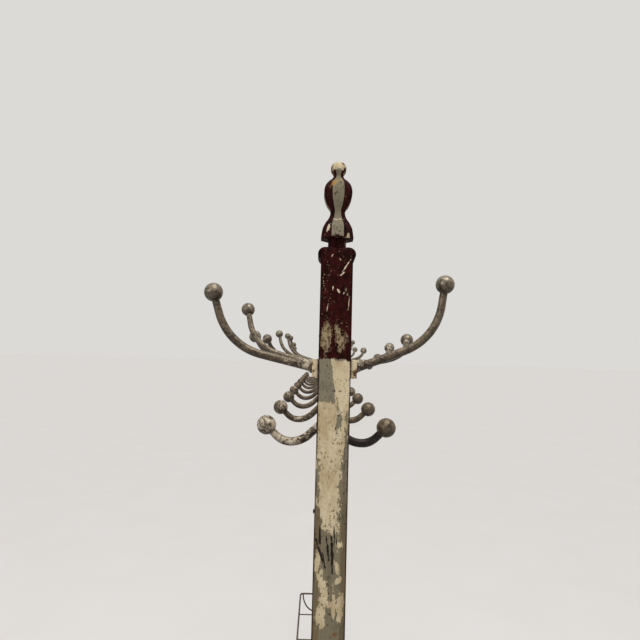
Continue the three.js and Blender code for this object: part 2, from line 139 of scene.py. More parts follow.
def linear(hex_code):
    """Linear RGBA from an sRGB hex code."""
    parts = [int(hex_code[i : i + 2], 16) / 255 for i in (0, 2, 4)]
    return tuple(c / 12.92 if c <= 0.04045 else ((c + 0.055) / 1.055) ** 2.4 for c in parts) + (1.0,)


class RackColours(bpy.types.PropertyGroup):
    """Colours of the paint layers and the bare metals."""

    oxblood: colour("Oxblood paint", "330C0B")
    oxblood_dark: colour("Darkened oxblood", "150302")
    olive: colour("Olive-grey paint", "7E7966")
    olive_brown: colour("Olive-brown paint", "6A5C43")
    cream: colour("Cream paint", "C8BA9C")
    cream_dirty: colour("Dirty cream", "AA9877")
    iron: colour("Worn iron", "766B57")
    iron_dark: colour("Dark iron", "35291D")
    rust: colour("Rust", "6E4428")
    zinc: colour("Zinc", "8E918D")
    floor: colour("Floor", "DFDEDD")


def sizes():
    """The rack's size settings."""
    return bpy.context.scene.rack_sizes


def colours():
    """The rack's colour settings."""
    return bpy.context.scene.rack_colours


# ---------- Materials ----------


def add(tree, kind, inputs=None, **settings):
    """Adds a node with its settings; each input is a value or the output that feeds it."""
    made = tree.nodes.new(kind)
    for name, value in settings.items():
        setattr(made, name, value)
    for key, value in (inputs or {}).items():
        if isinstance(value, bpy.types.NodeSocket):
            tree.links.new(value, made.inputs[key])
        else:
            made.inputs[key].default_value = value
    return made


def per(size_mm):
    """Texture scale that makes a feature about size_mm across."""
    return 1 / (size_mm * MM)


def new_material(name):
    """An empty material with its shader and the object's coordinates."""
    material = bpy.data.materials.new(name)
    material.use_nodes = True
    tree = material.node_tree
    tree.nodes.clear()
    shader = add(tree, "ShaderNodeBsdfPrincipled")
    add(tree, "ShaderNodeOutputMaterial", {"Surface": shader.outputs[0]})
    place = add(tree, "ShaderNodeTexCoord").outputs["Object"]
    return material, tree, shader, place


def ramp(tree, factor, stops):
    """A colour ramp's output from (position, grey or colour) stops."""
    made = add(tree, "ShaderNodeValToRGB", {"Fac": factor})
    elements = made.color_ramp.elements
    elements[0].position, elements[1].position = stops[0][0], stops[-1][0]
    for position, _ in stops[1:-1]:
        elements.new(position)
    for element, (_, value) in zip(elements, stops):
        element.color = value if isinstance(value, tuple) else (value, value, value, 1)
    return made.outputs["Color"]


def mixed(tree, factor, first, second, blend="MIX"):
    """Colour mixed from first to second."""
    made = add(
        tree, "ShaderNodeMix", {0: factor, 6: first, 7: second}, data_type="RGBA", blend_type=blend
    )
    return made.outputs[2]


def maths(tree, operation, *values, clamp=False):
    """One arithmetic step."""
    made = add(tree, "ShaderNodeMath", dict(enumerate(values)), operation=operation, use_clamp=clamp)
    return made.outputs[0]


def noise(tree, place, size_mm, detail=4.0, rough=0.55, warp=0.0, stretch=(1, 1, 1), seed=0.0):
    """Fractal noise about 0.5 with features up to about size_mm, squeezed along each axis by stretch."""
    moved = add(tree, "ShaderNodeMapping", {"Vector": place, "Location": (seed, seed * 0.7, seed * 1.3)})
    moved.inputs["Scale"].default_value = stretch
    made = add(
        tree,
        "ShaderNodeTexNoise",
        {
            "Vector": moved.outputs[0],
            "Scale": per(size_mm),
            "Detail": detail,
            "Roughness": rough,
            "Distortion": warp,
        },
    )
    return made.outputs["Fac"]


def step(tree, value, edge, soft=0.02):
    """0 below the edge, 1 above it, over a width of twice soft."""
    if isinstance(edge, bpy.types.NodeSocket):
        value, edge = maths(tree, "SUBTRACT", value, edge), 0.0
    made = add(
        tree, "ShaderNodeMapRange", {"Value": value, "From Min": edge - soft, "From Max": edge + soft}
    )
    made.interpolation_type = "SMOOTHSTEP"
    return made.outputs[0]


def between(tree, value, low, high, soft):
    """1 where the value lies between low and high."""
    return maths(tree, "SUBTRACT", step(tree, value, low, soft), step(tree, value, high, soft))


def bumped(tree, shader, height, depth_mm, strength=1.0):
    """Gives the shader a relief of depth_mm from a height map."""
    relief = add(
        tree, "ShaderNodeBump", {"Height": height, "Distance": depth_mm * MM, "Strength": strength}
    )
    tree.links.new(relief.outputs[0], shader.inputs["Normal"])


# Share of each paint left on a post at heights (mm) from the upper rails' top edge.
HEIGHTS = (-1560, -1200, -330, -312, -200, -185, -150, -47, -2, 2, 45, 60, 117, 144, 146, 222, 234, 250)
CREAM_LEFT = (
    0.26, 0.40, 0.44, 0.20, 0.20, 0.46, 0.70, 0.76, 0.64, 0.30, 0.30, 0.30, 0.28, 0.28, 0.30, 0.30, 0.52, 0.52,
)  # fmt: skip
OLIVE_LEFT = (
    0.34, 0.52, 0.74, 0.78, 0.80, 0.84, 0.88, 0.92, 0.96, 0.34, 0.34, 0.33, 0.26, 0.26, 0.86, 0.82, 0.56, 0.56,
)  # fmt: skip
FACE_DEPTH = 6.8 * MM  # how far behind a post's end face its marks still show
FINIAL_BALL_FOOT = 223 * MM  # from the rail's top edge
HANDLED_TOP = 62 * MM  # top of the band above the rails that hands have dirtied
ARRIS_INSET = 17.9 * MM  # from a post's axis to where its arrises begin to wear


def by_height(tree, height, shares):
    """A share that follows the height on a post."""
    low, high = HEIGHTS[0], HEIGHTS[-1]
    scaled = add(
        tree, "ShaderNodeMapRange", {"Value": height, "From Min": low * MM, "From Max": high * MM}
    ).outputs[0]
    stops = [((h - low) / (high - low), share) for h, share in zip(HEIGHTS, shares)]
    return ramp(tree, scaled, stops)


def marked(tree, marks, flat, ragged, soft=0.05):
    """1 inside any of the oval marks on a post's end face; the ragged value moves their edges in and out."""
    nearest = 9.0
    for centre, angle, length, width in marks:
        oval = add(
            tree,
            "ShaderNodeMapping",
            {
                "Vector": flat,
                "Location": (centre[0] * MM, centre[1] * MM, 0),
                "Rotation": (0, 0, math.radians(angle)),
                "Scale": (length / 2 * MM, width / 2 * MM, 1),
            },
            vector_type="TEXTURE",
        )
        reach = add(tree, "ShaderNodeVectorMath", {0: oval.outputs[0]}, operation="LENGTH")
        nearest = maths(tree, "MINIMUM", nearest, reach.outputs["Value"])
    return step(tree, maths(tree, "SUBTRACT", ragged, nearest), -1.0, soft)


# Marks on the outward end face of each post: centre (mm across, mm above the rail), angle, length, width.
CREAM_ISLANDS = (
    ((-11, 25), 88, 32, 10),
    ((3, 30), 96, 32, 7),
    ((8, 19), 74, 22, 10),
    ((1, -184), 84, 40, 22),
    ((11, -209), 84, 15, 10),
    ((-14, -228), 86, 26, 6),
    ((-9, -251), 98, 30, 10),
    ((-5, -269), 108, 20, 11),
    ((-9, -283), 84, 19, 10),
    ((8, -234), 104, 15, 5),
    ((10, -247), 50, 10, 5),
    ((5, -275), 92, 40, 4),
    ((12, -281), 86, 31, 7),
    ((-7, -293), 80, 12, 5),
    ((14, 147), 62, 17, 8),
    ((0, 236), 80, 15, 13),
)
OLIVE_ISLANDS = (
    ((6, -71), 92, 32, 8),
    ((16, -92), 92, 50, 6),
    ((15.5, -155), 90, 130, 11),
    ((-18, -190), 92, 40, 8),
    ((-17, -140), 88, 50, 5),
    ((-6, -205), 80, 24, 14),
)
PALE_SCRATCHES = (
    ((11, 110), 58, 17, 1.3),
    ((7, 101), 40, 7, 2.0),
    ((3, 80), 118, 5.5, 2.6),
    ((-4, 84), 82, 4, 1.3),
    ((9, 78), 70, 3, 1.0),
    ((4, 169), 14, 9, 1.6),
    ((-3, 168), 172, 6, 1.0),
    ((-11, 157), 76, 10, 3.4),
    ((-8, 219), 48, 8, 3.2),
    ((9, 220), 130, 6, 2.6),
    ((-6, 122), 60, 4, 0.9),
    ((4, 118), 120, 3, 0.9),
    ((-10, 60), 80, 9, 0.8),
    ((15, 66), 85, 14, 0.7),
)
DARK_SCUFFS = (
    ((-12, -201), 92, 20, 2.6),
    ((-11, -219), 110, 38, 2.8),
    ((-3, -213), 98, 28, 2.4),
    ((4, -196), 94, 18, 2.0),
    ((2, -219), 92, 38, 3.2),
    ((-7, -226), 100, 20, 1.6),
    ((7, -205), 95, 12, 1.2),
)
RUST_SPOTS = (((7, -306), 0, 5, 4.5), ((-9, -262), 0, 2.2, 2.2), ((12, -140), 0, 1.8, 1.8))
OCHRE_SPOTS = (((-5, 213), 60, 12, 6), ((1, 218), 10, 9, 4))


def oil_paint_on_timber():
    """Old brushed oil paint: cream over olive over oxblood, flaked in ragged islands, satin where sound."""
    made = colours()
    material, tree, shader, place = new_material("layered_oil_paint_on_timber")
    axes = add(tree, "ShaderNodeSeparateXYZ", {"Vector": place})
    across, along, up = axes.outputs
    height = maths(tree, "SUBTRACT", up, RAIL_TOP)
    end_offset = maths(tree, "SUBTRACT", maths(tree, "ABSOLUTE", along), POST_Y)
    wing = add(tree, "ShaderNodeAttribute", attribute_name="wing").outputs["Fac"]
    end_face = step(tree, end_offset, POST_HALF - FACE_DEPTH, 0.3 * MM)
    flat = add(tree, "ShaderNodeCombineXYZ", {"X": across, "Y": height}).outputs[0]

    # The upright grain draws the flakes out lengthways.
    flakes = noise(tree, place, 13, 8, 0.62, 0.25, (1, 1, 0.42), 3.1)
    chips = noise(tree, place, 5.5, 5, 0.6, 0.4, (1, 1, 0.6), 7.7)
    broad = noise(tree, place, 60, 3, 0.5, 0.0, (1, 1, 0.6), 1.9)
    olive_edge = noise(tree, place, 17, 8, 0.62, 0.3, (1, 1, 0.45), 12.3)

    # Just below the rails the olive coat is bare on one half of the face and cream on the other.
    slanted = maths(tree, "ADD", across, maths(tree, "MULTIPLY", height, 0.16))
    slanted = maths(tree, "ADD", slanted, maths(tree, "MULTIPLY", maths(tree, "SUBTRACT", chips, 0.5), 0.006))
    half = step(tree, slanted, -4.5 * MM, 1.2 * MM)
    under_rail = between(tree, height, -52 * MM, 0.5 * MM, 6 * MM)
    split = maths(tree, "MULTIPLY", under_rail, end_face)
    swing = maths(tree, "MULTIPLY", split, maths(tree, "SUBTRACT", maths(tree, "MULTIPLY", half, 0.5), 0.36))

    wavering = maths(tree, "SUBTRACT", 1.0, maths(tree, "ADD", olive_edge, chips))
    wavering = maths(tree, "ADD", height, maths(tree, "MULTIPLY", wavering, 12 * MM))
    chamfered = step(tree, wing, 0.2, 0.05)
    finial_wing = step(tree, wing, 0.7, 0.05)
    cream_share = maths(tree, "ADD", by_height(tree, wavering, CREAM_LEFT), swing)
    near_left = maths(tree, "MULTIPLY", end_face, maths(tree, "SUBTRACT", 1.0, step(tree, across, -8 * MM)))
    bared = maths(tree, "MULTIPLY", chamfered, maths(tree, "SUBTRACT", 1.0, near_left))
    below_ball = step(tree, maths(tree, "MULTIPLY", height, -1.0), -FINIAL_BALL_FOOT, 2 * MM)
    bared = maths(tree, "MULTIPLY", bared, below_ball)
    cream_share = maths(tree, "SUBTRACT", cream_share, maths(tree, "MULTIPLY", bared, 0.30))
    large_flakes = maths(tree, "MULTIPLY", flakes, 0.8)
    cream_field = maths(tree, "ADD", large_flakes, maths(tree, "MULTIPLY", broad, 0.2))
    small_chips = maths(tree, "MULTIPLY", maths(tree, "SUBTRACT", chips, 0.5), 0.3)
    cream_field = maths(tree, "ADD", cream_field, small_chips)
    cream = step(tree, maths(tree, "ADD", cream_share, cream_field), 1.0, 0.012)
    crumble = noise(tree, place, 3.8, 6, 0.72, 0.3, (1, 1, 0.6), 41.0)
    ragged = maths(tree, "MULTIPLY", maths(tree, "SUBTRACT", crumble, 0.5), 3.8)
    ragged = maths(tree, "ADD", ragged, maths(tree, "MULTIPLY", maths(tree, "SUBTRACT", flakes, 0.5), 3.6))
    island = maths(tree, "MULTIPLY", marked(tree, CREAM_ISLANDS, flat, ragged), end_face)
    bare_patch = maths(tree, "MULTIPLY", marked(tree, OLIVE_ISLANDS, flat, ragged), end_face)
    cream = maths(tree, "MAXIMUM", cream, island)
    cream = maths(tree, "MULTIPLY", cream, maths(tree, "SUBTRACT", 1.0, bare_patch))
    olive_share = by_height(tree, wavering, OLIVE_LEFT)
    olive_share = maths(tree, "SUBTRACT", olive_share, maths(tree, "MULTIPLY", finial_wing, 0.50))
    olive = step(tree, maths(tree, "ADD", olive_share, olive_edge), 1.0, 0.016)

    # A thin dark line runs along both outer edges of each post's end face.
    edge_run = maths(tree, "ABSOLUTE", across)
    wander = maths(tree, "MULTIPLY", maths(tree, "SUBTRACT", olive_edge, 0.5), 0.004)
    dark_edge_line = step(tree, maths(tree, "ADD", edge_run, wander), 17.5 * MM, 0.5 * MM)
    dark_edge_line = maths(tree, "MULTIPLY", dark_edge_line, end_face)
    # Crumbs of cream cling to the dark coat.
    crumb = noise(tree, place, 2.0, 3, 0.6, 0.3, (1, 1, 0.7), 31.0)
    crumb_gate = noise(tree, place, 16, 3, 0.6, 0.0, (1, 1, 0.6), 37.0)
    crumbs = step(tree, maths(tree, "ADD", crumb, maths(tree, "MULTIPLY", crumb_gate, 0.35)), 0.86, 0.03)

    # Fine pits go through the cream; hands and coats have polished the arrises down to the dark coat.
    pits = noise(tree, place, 2.4, 4, 0.65, 0.0, (1, 1, 0.6), 21.0)
    cluster = noise(tree, place, 30, 3, 0.6, 0.0, (1.4, 1, 0.5), 27.0)
    pitted = step(tree, maths(tree, "ADD", pits, maths(tree, "MULTIPLY", cluster, 0.35)), 0.80, 0.02)
    side_edge = maths(tree, "ABSOLUTE", across)
    depth_edge = maths(tree, "ABSOLUTE", end_offset)
    side_edge = step(tree, side_edge, ARRIS_INSET, 0.8 * MM)
    arris = maths(tree, "MULTIPLY", side_edge, step(tree, depth_edge, ARRIS_INSET, 0.8 * MM))
    polish = noise(tree, place, 16, 5, 0.6, 0.3, (1, 1, 0.3), 5.0)
    arris = maths(tree, "MULTIPLY", arris, step(tree, polish, 0.44, 0.05))

    mottle = noise(tree, place, 7, 6, 0.7, 0.3, (1, 1, 0.6), 2.2)
    oxblood = mixed(tree, step(tree, mottle, 0.52, 0.16), made.oxblood_dark, made.oxblood)
    oxblood = mixed(tree, maths(tree, "MULTIPLY", crumbs, 0.55), oxblood, made.cream_dirty)
    grain = noise(tree, place, 1.3, 4, 0.6, 0.1, (1, 1, 0.05), 9.0)
    upper = step(tree, height, -160 * MM, 50 * MM)
    centre = maths(tree, "SUBTRACT", 1.0, step(tree, maths(tree, "ABSOLUTE", across), 12 * MM, 3 * MM))
    greyed = maths(tree, "MAXIMUM", upper, maths(tree, "MAXIMUM", maths(tree, "MULTIPLY", centre, 0.70), 0.2))
    olive_tone = mixed(tree, greyed, made.olive_brown, made.olive)
    olive_tone = mixed(tree, maths(tree, "MULTIPLY", grain, 0.35), olive_tone, made.oxblood)
    faded = noise(tree, place, 9, 4, 0.6, 0.2, (1, 1, 0.5), 15.0)
    olive_tone = mixed(tree, step(tree, faded, 0.60, 0.10), olive_tone, linear("5E5A4A"))
    dirt = noise(tree, place, 19, 6, 0.65, 0.3, (1, 1, 0.4), 4.4)
    cream_tone = mixed(tree, step(tree, dirt, 0.50, 0.16), made.cream, made.cream_dirty)
    stain = step(tree, crumble, 0.56, 0.10)
    cream_tone = mixed(tree, maths(tree, "MULTIPLY", stain, 0.22), cream_tone, made.olive_brown)
    cream_tone = mixed(tree, maths(tree, "MULTIPLY", grain, 0.22), cream_tone, made.olive_brown)
    handled = maths(tree, "MULTIPLY", between(tree, height, 4 * MM, HANDLED_TOP, 2 * MM), 0.62)
    cream_tone = mixed(tree, handled, cream_tone, made.olive_brown)

    tone = mixed(tree, olive, oxblood, olive_tone)
    tone = mixed(tree, cream, tone, cream_tone)
    tone = mixed(tree, maths(tree, "MULTIPLY", pitted, 0.75), tone, made.oxblood)
    band = between(tree, height, 2 * MM, HANDLED_TOP, 2 * MM)
    flecked = maths(tree, "MULTIPLY", band, step(tree, crumble, 0.53, 0.03))
    tone = mixed(tree, maths(tree, "MULTIPLY", flecked, 0.8), tone, made.oxblood)
    tone = mixed(tree, maths(tree, "MULTIPLY", dark_edge_line, 0.8), tone, made.oxblood_dark)
    tone = mixed(tree, maths(tree, "MULTIPLY", arris, 0.85), tone, made.oxblood_dark)

    ragged = maths(tree, "MULTIPLY", maths(tree, "SUBTRACT", crumble, 0.5), 3.6)
    for marks, mark_tone, amount in (
        (PALE_SCRATCHES, linear("C9BDA4"), 0.85),
        (DARK_SCUFFS, linear("120F10"), 0.93),
        (RUST_SPOTS, linear("6A3F24"), 0.7),
        (OCHRE_SPOTS, linear("94733F"), 0.8),
    ):
        cover = maths(tree, "MULTIPLY", marked(tree, marks, flat, ragged, 0.15), end_face)
        tone = mixed(tree, maths(tree, "MULTIPLY", cover, amount), tone, mark_tone)
    tree.links.new(tone, shader.inputs["Base Color"])

    sheen = ramp(tree, cream, [(0.0, 0.66), (1.0, 0.58)])
    sheen = maths(tree, "ADD", sheen, maths(tree, "MULTIPLY", maths(tree, "SUBTRACT", chips, 0.5), 0.4))
    tree.links.new(sheen, shader.inputs["Roughness"])
    shader.inputs["Specular IOR Level"].default_value = 0.05
    coats = maths(tree, "ADD", maths(tree, "MULTIPLY", cream, 0.45), maths(tree, "MULTIPLY", olive, 0.3))
    relief = maths(tree, "ADD", coats, maths(tree, "MULTIPLY", grain, 0.22))
    relief = maths(tree, "SUBTRACT", relief, maths(tree, "MULTIPLY", pitted, 0.3))
    bumped(tree, shader, relief, 0.55, 0.8)
    return material


def worn_oxblood_on_timber():
    """Oxblood floor paint, kicked through to brown timber along the edges and faintly dusty all over."""
    made = colours()
    material, tree, shader, place = new_material("kicked_oxblood_paint_on_timber")
    wear = noise(tree, place, 34, 8, 0.65, 0.3, (0.5, 0.5, 1), 6.0)
    edge = add(tree, "ShaderNodeAttribute", attribute_name="edge").outputs["Fac"]
    rubbed = step(tree, maths(tree, "ADD", wear, maths(tree, "MULTIPLY", edge, 0.22)), 0.66, 0.02)
    grain = noise(tree, place, 2.2, 5, 0.6, 0.15, (0.08, 0.08, 1), 8.0)
    coat = mixed(tree, noise(tree, place, 40, 6, 0.6, 0.2, (1, 1, 1), 1.0), made.oxblood_dark, made.oxblood)
    timber = mixed(tree, grain, linear("4A3423"), linear("8A6B49"))
    tone = mixed(tree, rubbed, coat, timber)
    dust = noise(tree, place, 70, 4, 0.6, 0.2, (1, 1, 1), 13.0)
    tone = mixed(tree, maths(tree, "MULTIPLY", dust, 0.22), tone, made.cream_dirty)
    tree.links.new(tone, shader.inputs["Base Color"])
    tree.links.new(ramp(tree, rubbed, [(0.0, 0.5), (1.0, 0.8)]), shader.inputs["Roughness"])
    relief = maths(tree, "ADD", maths(tree, "MULTIPLY", grain, 0.3), maths(tree, "MULTIPLY", rubbed, -0.5))
    bumped(tree, shader, relief, 0.5, 0.7)
    return material


def chipped_paint_on_flat_iron():
    """Brushed cream oil paint on rolled flat bar, chipped to dark iron and stained with rust."""
    made = colours()
    material, tree, shader, place = new_material("chipped_cream_paint_on_flat_iron")
    chips = noise(tree, place, 11, 8, 0.64, 0.3, (1, 0.55, 1), 2.0)
    speck = noise(tree, place, 3.0, 4, 0.6, 0.2, (1, 0.8, 1), 5.0)
    field = maths(tree, "ADD", maths(tree, "MULTIPLY", chips, 0.8), maths(tree, "MULTIPLY", speck, 0.2))
    bare = step(tree, field, 0.535, 0.012)
    halo = step(tree, field, 0.50, 0.035)
    coat = mixed(tree, noise(tree, place, 30, 6, 0.6, 0.2, (1, 0.5, 1), 9.0), made.cream, made.cream_dirty)
    iron = mixed(tree, speck, made.iron_dark, made.rust)
    tone = mixed(tree, maths(tree, "MULTIPLY", halo, 0.45), coat, made.rust)
    tone = mixed(tree, bare, tone, iron)
    tree.links.new(tone, shader.inputs["Base Color"])
    tree.links.new(maths(tree, "MULTIPLY", bare, 0.45), shader.inputs["Metallic"])
    tree.links.new(ramp(tree, bare, [(0.0, 0.48), (1.0, 0.62)]), shader.inputs["Roughness"])
    relief = maths(tree, "ADD", maths(tree, "MULTIPLY", bare, -0.6), maths(tree, "MULTIPLY", speck, 0.2))
    bumped(tree, shader, relief, 0.35, 0.8)
    return material


def forged_iron_with_old_paint():
    """Forged rod worn to a dull sheen: brown-black scale, rust in the pores, cream paint where hands miss."""
    made = colours()
    material, tree, shader, place = new_material("forged_iron_with_old_cream_paint")
    paint = add(tree, "ShaderNodeAttribute", attribute_name="paint").outputs["Fac"]
    bright = add(tree, "ShaderNodeAttribute", attribute_name="bright").outputs["Fac"]
    blotch = noise(tree, place, 13, 7, 0.66, 0.4, (1, 1, 1), 3.0)
    speck = noise(tree, place, 3.2, 5, 0.68, 0.3, (1, 1, 1), 8.0)
    pore = noise(tree, place, 1.3, 3, 0.6, 0.0, (1, 1, 1), 17.0)
    shade = maths(tree, "ADD", maths(tree, "MULTIPLY", blotch, 0.5), maths(tree, "MULTIPLY", speck, 0.5))
    scale = mixed(tree, step(tree, shade, 0.49, 0.13), made.iron_dark, made.iron)
    rubbed = maths(tree, "ADD", speck, maths(tree, "MULTIPLY", bright, 0.35))
    worn = step(tree, rubbed, 0.66, 0.12)
    scale = mixed(tree, maths(tree, "MULTIPLY", worn, 0.6), scale, linear("A29B89"))
    rusted = step(tree, maths(tree, "ADD", speck, maths(tree, "MULTIPLY", blotch, 0.35)), 0.76, 0.07)
    scale = mixed(tree, maths(tree, "MULTIPLY", rusted, 0.5), scale, made.rust)
    field = maths(tree, "ADD", maths(tree, "MULTIPLY", blotch, 0.55), maths(tree, "MULTIPLY", speck, 0.45))
    painted = step(tree, maths(tree, "ADD", field, paint), 1.0, 0.02)
    coat_tone = step(tree, noise(tree, place, 8, 5, 0.6, 0.2, (1, 1, 1), 4.0), 0.5, 0.2)
    coat = mixed(tree, coat_tone, linear("D6CCBA"), made.cream_dirty)
    charred = step(tree, paint, 0.28, 0.03)
    scale = mixed(tree, charred, linear("1E1410"), scale)
    tone = mixed(tree, maths(tree, "MULTIPLY", painted, 0.88), scale, coat)
    # Painted shade: the undersides, where the normal points down, are darkened to a near-black brown in
    # patches.
    up = add(tree, "ShaderNodeAttribute", attribute_name="facing_up").outputs["Fac"]
    patchy = maths(tree, "MULTIPLY", maths(tree, "SUBTRACT", blotch, 0.5), 1.2)
    upper_side = step(tree, maths(tree, "ADD", up, patchy), -0.05, 0.75)
    painted_underside_shade = maths(tree, "MULTIPLY", maths(tree, "SUBTRACT", 1.0, upper_side), 0.8)
    tone = mixed(tree, painted_underside_shade, tone, linear("1C130D"))
    tree.links.new(tone, shader.inputs["Base Color"])
    metal = maths(tree, "MULTIPLY", maths(tree, "SUBTRACT", 1.0, painted), 0.6)
    metal = maths(tree, "SUBTRACT", metal, maths(tree, "MULTIPLY", rusted, 0.3), clamp=True)
    tree.links.new(metal, shader.inputs["Metallic"])
    gloss = ramp(tree, speck, [(0.3, 0.34), (0.7, 0.56)])
    gloss = maths(tree, "SUBTRACT", gloss, maths(tree, "MULTIPLY", bright, 0.32))
    gloss = maths(tree, "ADD", gloss, maths(tree, "MULTIPLY", painted, 0.10))
    tree.links.new(gloss, shader.inputs["Roughness"])
    relief = maths(tree, "ADD", maths(tree, "MULTIPLY", painted, 0.55), maths(tree, "MULTIPLY", pore, 0.25))
    relief = maths(tree, "ADD", relief, maths(tree, "MULTIPLY", blotch, 0.3))
    bumped(tree, shader, relief, 0.35, 0.7)
    return material


def darkened_iron_rod():
    """Drawn iron rod gone brown with handling, dull with a little rust bloom."""
    made = colours()
    material, tree, shader, place = new_material("darkened_drawn_iron_rod")
    blotch = noise(tree, place, 24, 6, 0.6, 0.2, (1, 1, 1), 5.0)
    bloom = noise(tree, place, 2.4, 4, 0.65, 0.0, (1, 1, 1), 9.0)
    tone = mixed(tree, blotch, linear("33281F"), linear("6B5D4B"))
    rusted = step(tree, maths(tree, "ADD", blotch, maths(tree, "MULTIPLY", bloom, 0.5)), 0.80, 0.08)
    tone = mixed(tree, maths(tree, "MULTIPLY", rusted, 0.6), tone, made.rust)
    tree.links.new(tone, shader.inputs["Base Color"])
    tree.links.new(ramp(tree, rusted, [(0.0, 0.6), (1.0, 0.1)]), shader.inputs["Metallic"])
    tree.links.new(ramp(tree, bloom, [(0.3, 0.38), (0.7, 0.62)]), shader.inputs["Roughness"])
    bumped(tree, shader, maths(tree, "ADD", bloom, rusted), 0.2, 0.6)
    return material


def browned_steel_fastener():
    """Turned steel bolt and screw heads, browned in blotches."""
    made = colours()
    material, tree, shader, place = new_material("browned_steel_fastener")
    blotch = noise(tree, place, 4, 5, 0.6, 0.2, (1, 1, 1), 2.0)
    tone = mixed(tree, blotch, made.iron_dark, linear("5E4C3C"))
    tree.links.new(tone, shader.inputs["Base Color"])
    shader.inputs["Metallic"].default_value = 0.75
    tree.links.new(ramp(tree, blotch, [(0.3, 0.32), (0.7, 0.55)]), shader.inputs["Roughness"])
    bumped(tree, shader, blotch, 0.15, 0.6)
    return material


def galvanised_sheet():
    """Hot-dipped zinc sheet: dull grey spangle with water marks."""
    material, tree, shader, place = new_material("hot_dipped_zinc_sheet")
    cells = add(tree, "ShaderNodeTexVoronoi", {"Vector": place, "Scale": per(14), "Randomness": 1.0})
    spangle = add(tree, "ShaderNodeRGBToBW", {"Color": cells.outputs["Color"]}).outputs[0]
    marks = noise(tree, place, 60, 6, 0.6, 0.4, (1, 0.5, 1), 7.0)
    tone = mixed(tree, spangle, linear("7C807D"), linear("A4A7A3"))
    tone = mixed(tree, maths(tree, "MULTIPLY", step(tree, marks, 0.55, 0.08), 0.5), tone, linear("6A6156"))
    tree.links.new(tone, shader.inputs["Base Color"])
    shader.inputs["Metallic"].default_value = 0.85
    rough = maths(tree, "ADD", maths(tree, "MULTIPLY", spangle, 0.14), 0.36)
    rough = maths(tree, "ADD", rough, maths(tree, "MULTIPLY", marks, 0.15))
    tree.links.new(rough, shader.inputs["Roughness"])
    bumped(tree, shader, spangle, 0.05, 0.4)
    return material


def pale_studio_floor():
    """Matt pale floor, so faintly mottled that it reads as plain."""
    made = colours()
    material, tree, shader, place = new_material("matt_pale_floor")
    mottle = noise(tree, place, 400, 3, 0.5)
    tree.links.new(mixed(tree, mottle, made.floor, linear("DAD6D4")), shader.inputs["Base Color"])
    shader.inputs["Roughness"].default_value = 0.85
    return material


FINISHES = {}
MAKERS = {
    "post_paint": oil_paint_on_timber,
    "foot_paint": worn_oxblood_on_timber,
    "rail_paint": chipped_paint_on_flat_iron,
    "worn_iron": forged_iron_with_old_paint,
    "dark_iron": darkened_iron_rod,
    "bolt_steel": browned_steel_fastener,
    "zinc_sheet": galvanised_sheet,
    "floor": pale_studio_floor,
}


def finish_named(slot):
    """The material of a slot, made the first time it is asked for."""
    if slot not in FINISHES:
        FINISHES[slot] = MAKERS[slot]()
    return FINISHES[slot]


# ---------- Mesh helpers ----------


def place_piece(name, mesh, slot, *nodes, body=FRAME_BODY):
    """Puts a finished mesh in the scene on its body, in place of its CAD nodes."""
    piece = bpy.data.objects.new(name, mesh)
    bpy.context.collection.objects.link(piece)
    mesh.materials.clear()
    mesh.materials.append(finish_named(slot))
    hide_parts(*nodes)
    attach(piece, body)
    return piece


def mesh_from(builder, name, sharp=32):
    """A mesh from a bmesh, outward, smooth but for edges sharper than an angle in degrees."""
    mesh = bpy.data.meshes.new(name)
    builder.to_mesh(mesh)
    builder.free()
    mesh.shade_smooth()
    mesh.set_sharp_from_angle(angle=math.radians(sharp))
    return mesh


def evaluated(mesh, *modifiers, cutter=None):
    """The mesh after modifiers, each a (kind, settings) pair; a Boolean cuts with the cutter mesh."""
    carrier = bpy.data.objects.new("carrier", mesh)
    bpy.context.collection.objects.link(carrier)
    helper = None
    if cutter:
        helper = bpy.data.objects.new("cutter", cutter)
        bpy.context.collection.objects.link(helper)
    for kind, settings in modifiers:
        modifier = carrier.modifiers.new(kind, kind)
        for key, value in settings.items():
            setattr(modifier, key, value)
        if kind == "BOOLEAN":
            modifier.object = helper
    graph = bpy.context.evaluated_depsgraph_get()
    made = bpy.data.meshes.new_from_object(carrier.evaluated_get(graph))
    bpy.data.objects.remove(carrier)
    if helper:
        bpy.data.objects.remove(helper)
    return made


def add_block(builder, low, high):
    """A closed box between two corners."""
    centre, lengths = (low + high) / 2, high - low
    matrix = Matrix.Translation(centre) @ Matrix.Diagonal((*lengths, 1))
    bmesh.ops.create_cube(builder, size=1, matrix=matrix)


def add_drum(builder, centre, axis, radius, length, sides=24):
    """A closed cylinder centred on a point, along an axis."""
    turn = Vector((0, 0, 1)).rotation_difference(Vector(axis)).to_matrix().to_4x4()
    bmesh.ops.create_cone(
        builder,
        cap_ends=True,
        segments=sides,
        radius1=radius,
        radius2=radius,
        depth=length,
        matrix=Matrix.Translation(centre) @ turn,
    )


def mark_worn_edges(mesh, largest):
    """Stores where a mesh's small faces are, which are its rounded edges, as the attribute 'edge'."""
    worn = mesh.attributes.new("edge", "FLOAT", "POINT")
    for face in mesh.polygons:
        if face.area < largest:
            for index in face.vertices:
                worn.data[index].value = 1.0


ROUNDING = {"segments": 3, "limit_method": "ANGLE", "angle_limit": math.radians(35)}


def new_tree(name, sockets):
    """A geometry tree with named inputs, and its two end nodes."""
    tree = bpy.data.node_groups.new(name, "GeometryNodeTree")
    tree.interface.new_socket("Geometry", in_out="OUTPUT", socket_type="NodeSocketGeometry")
    for label, kind, default in sockets:
        socket = tree.interface.new_socket(label, in_out="INPUT", socket_type=f"NodeSocket{kind}")
        if default is not None:
            socket.default_value = default
    return tree, add(tree, "NodeGroupInput"), add(tree, "NodeGroupOutput")


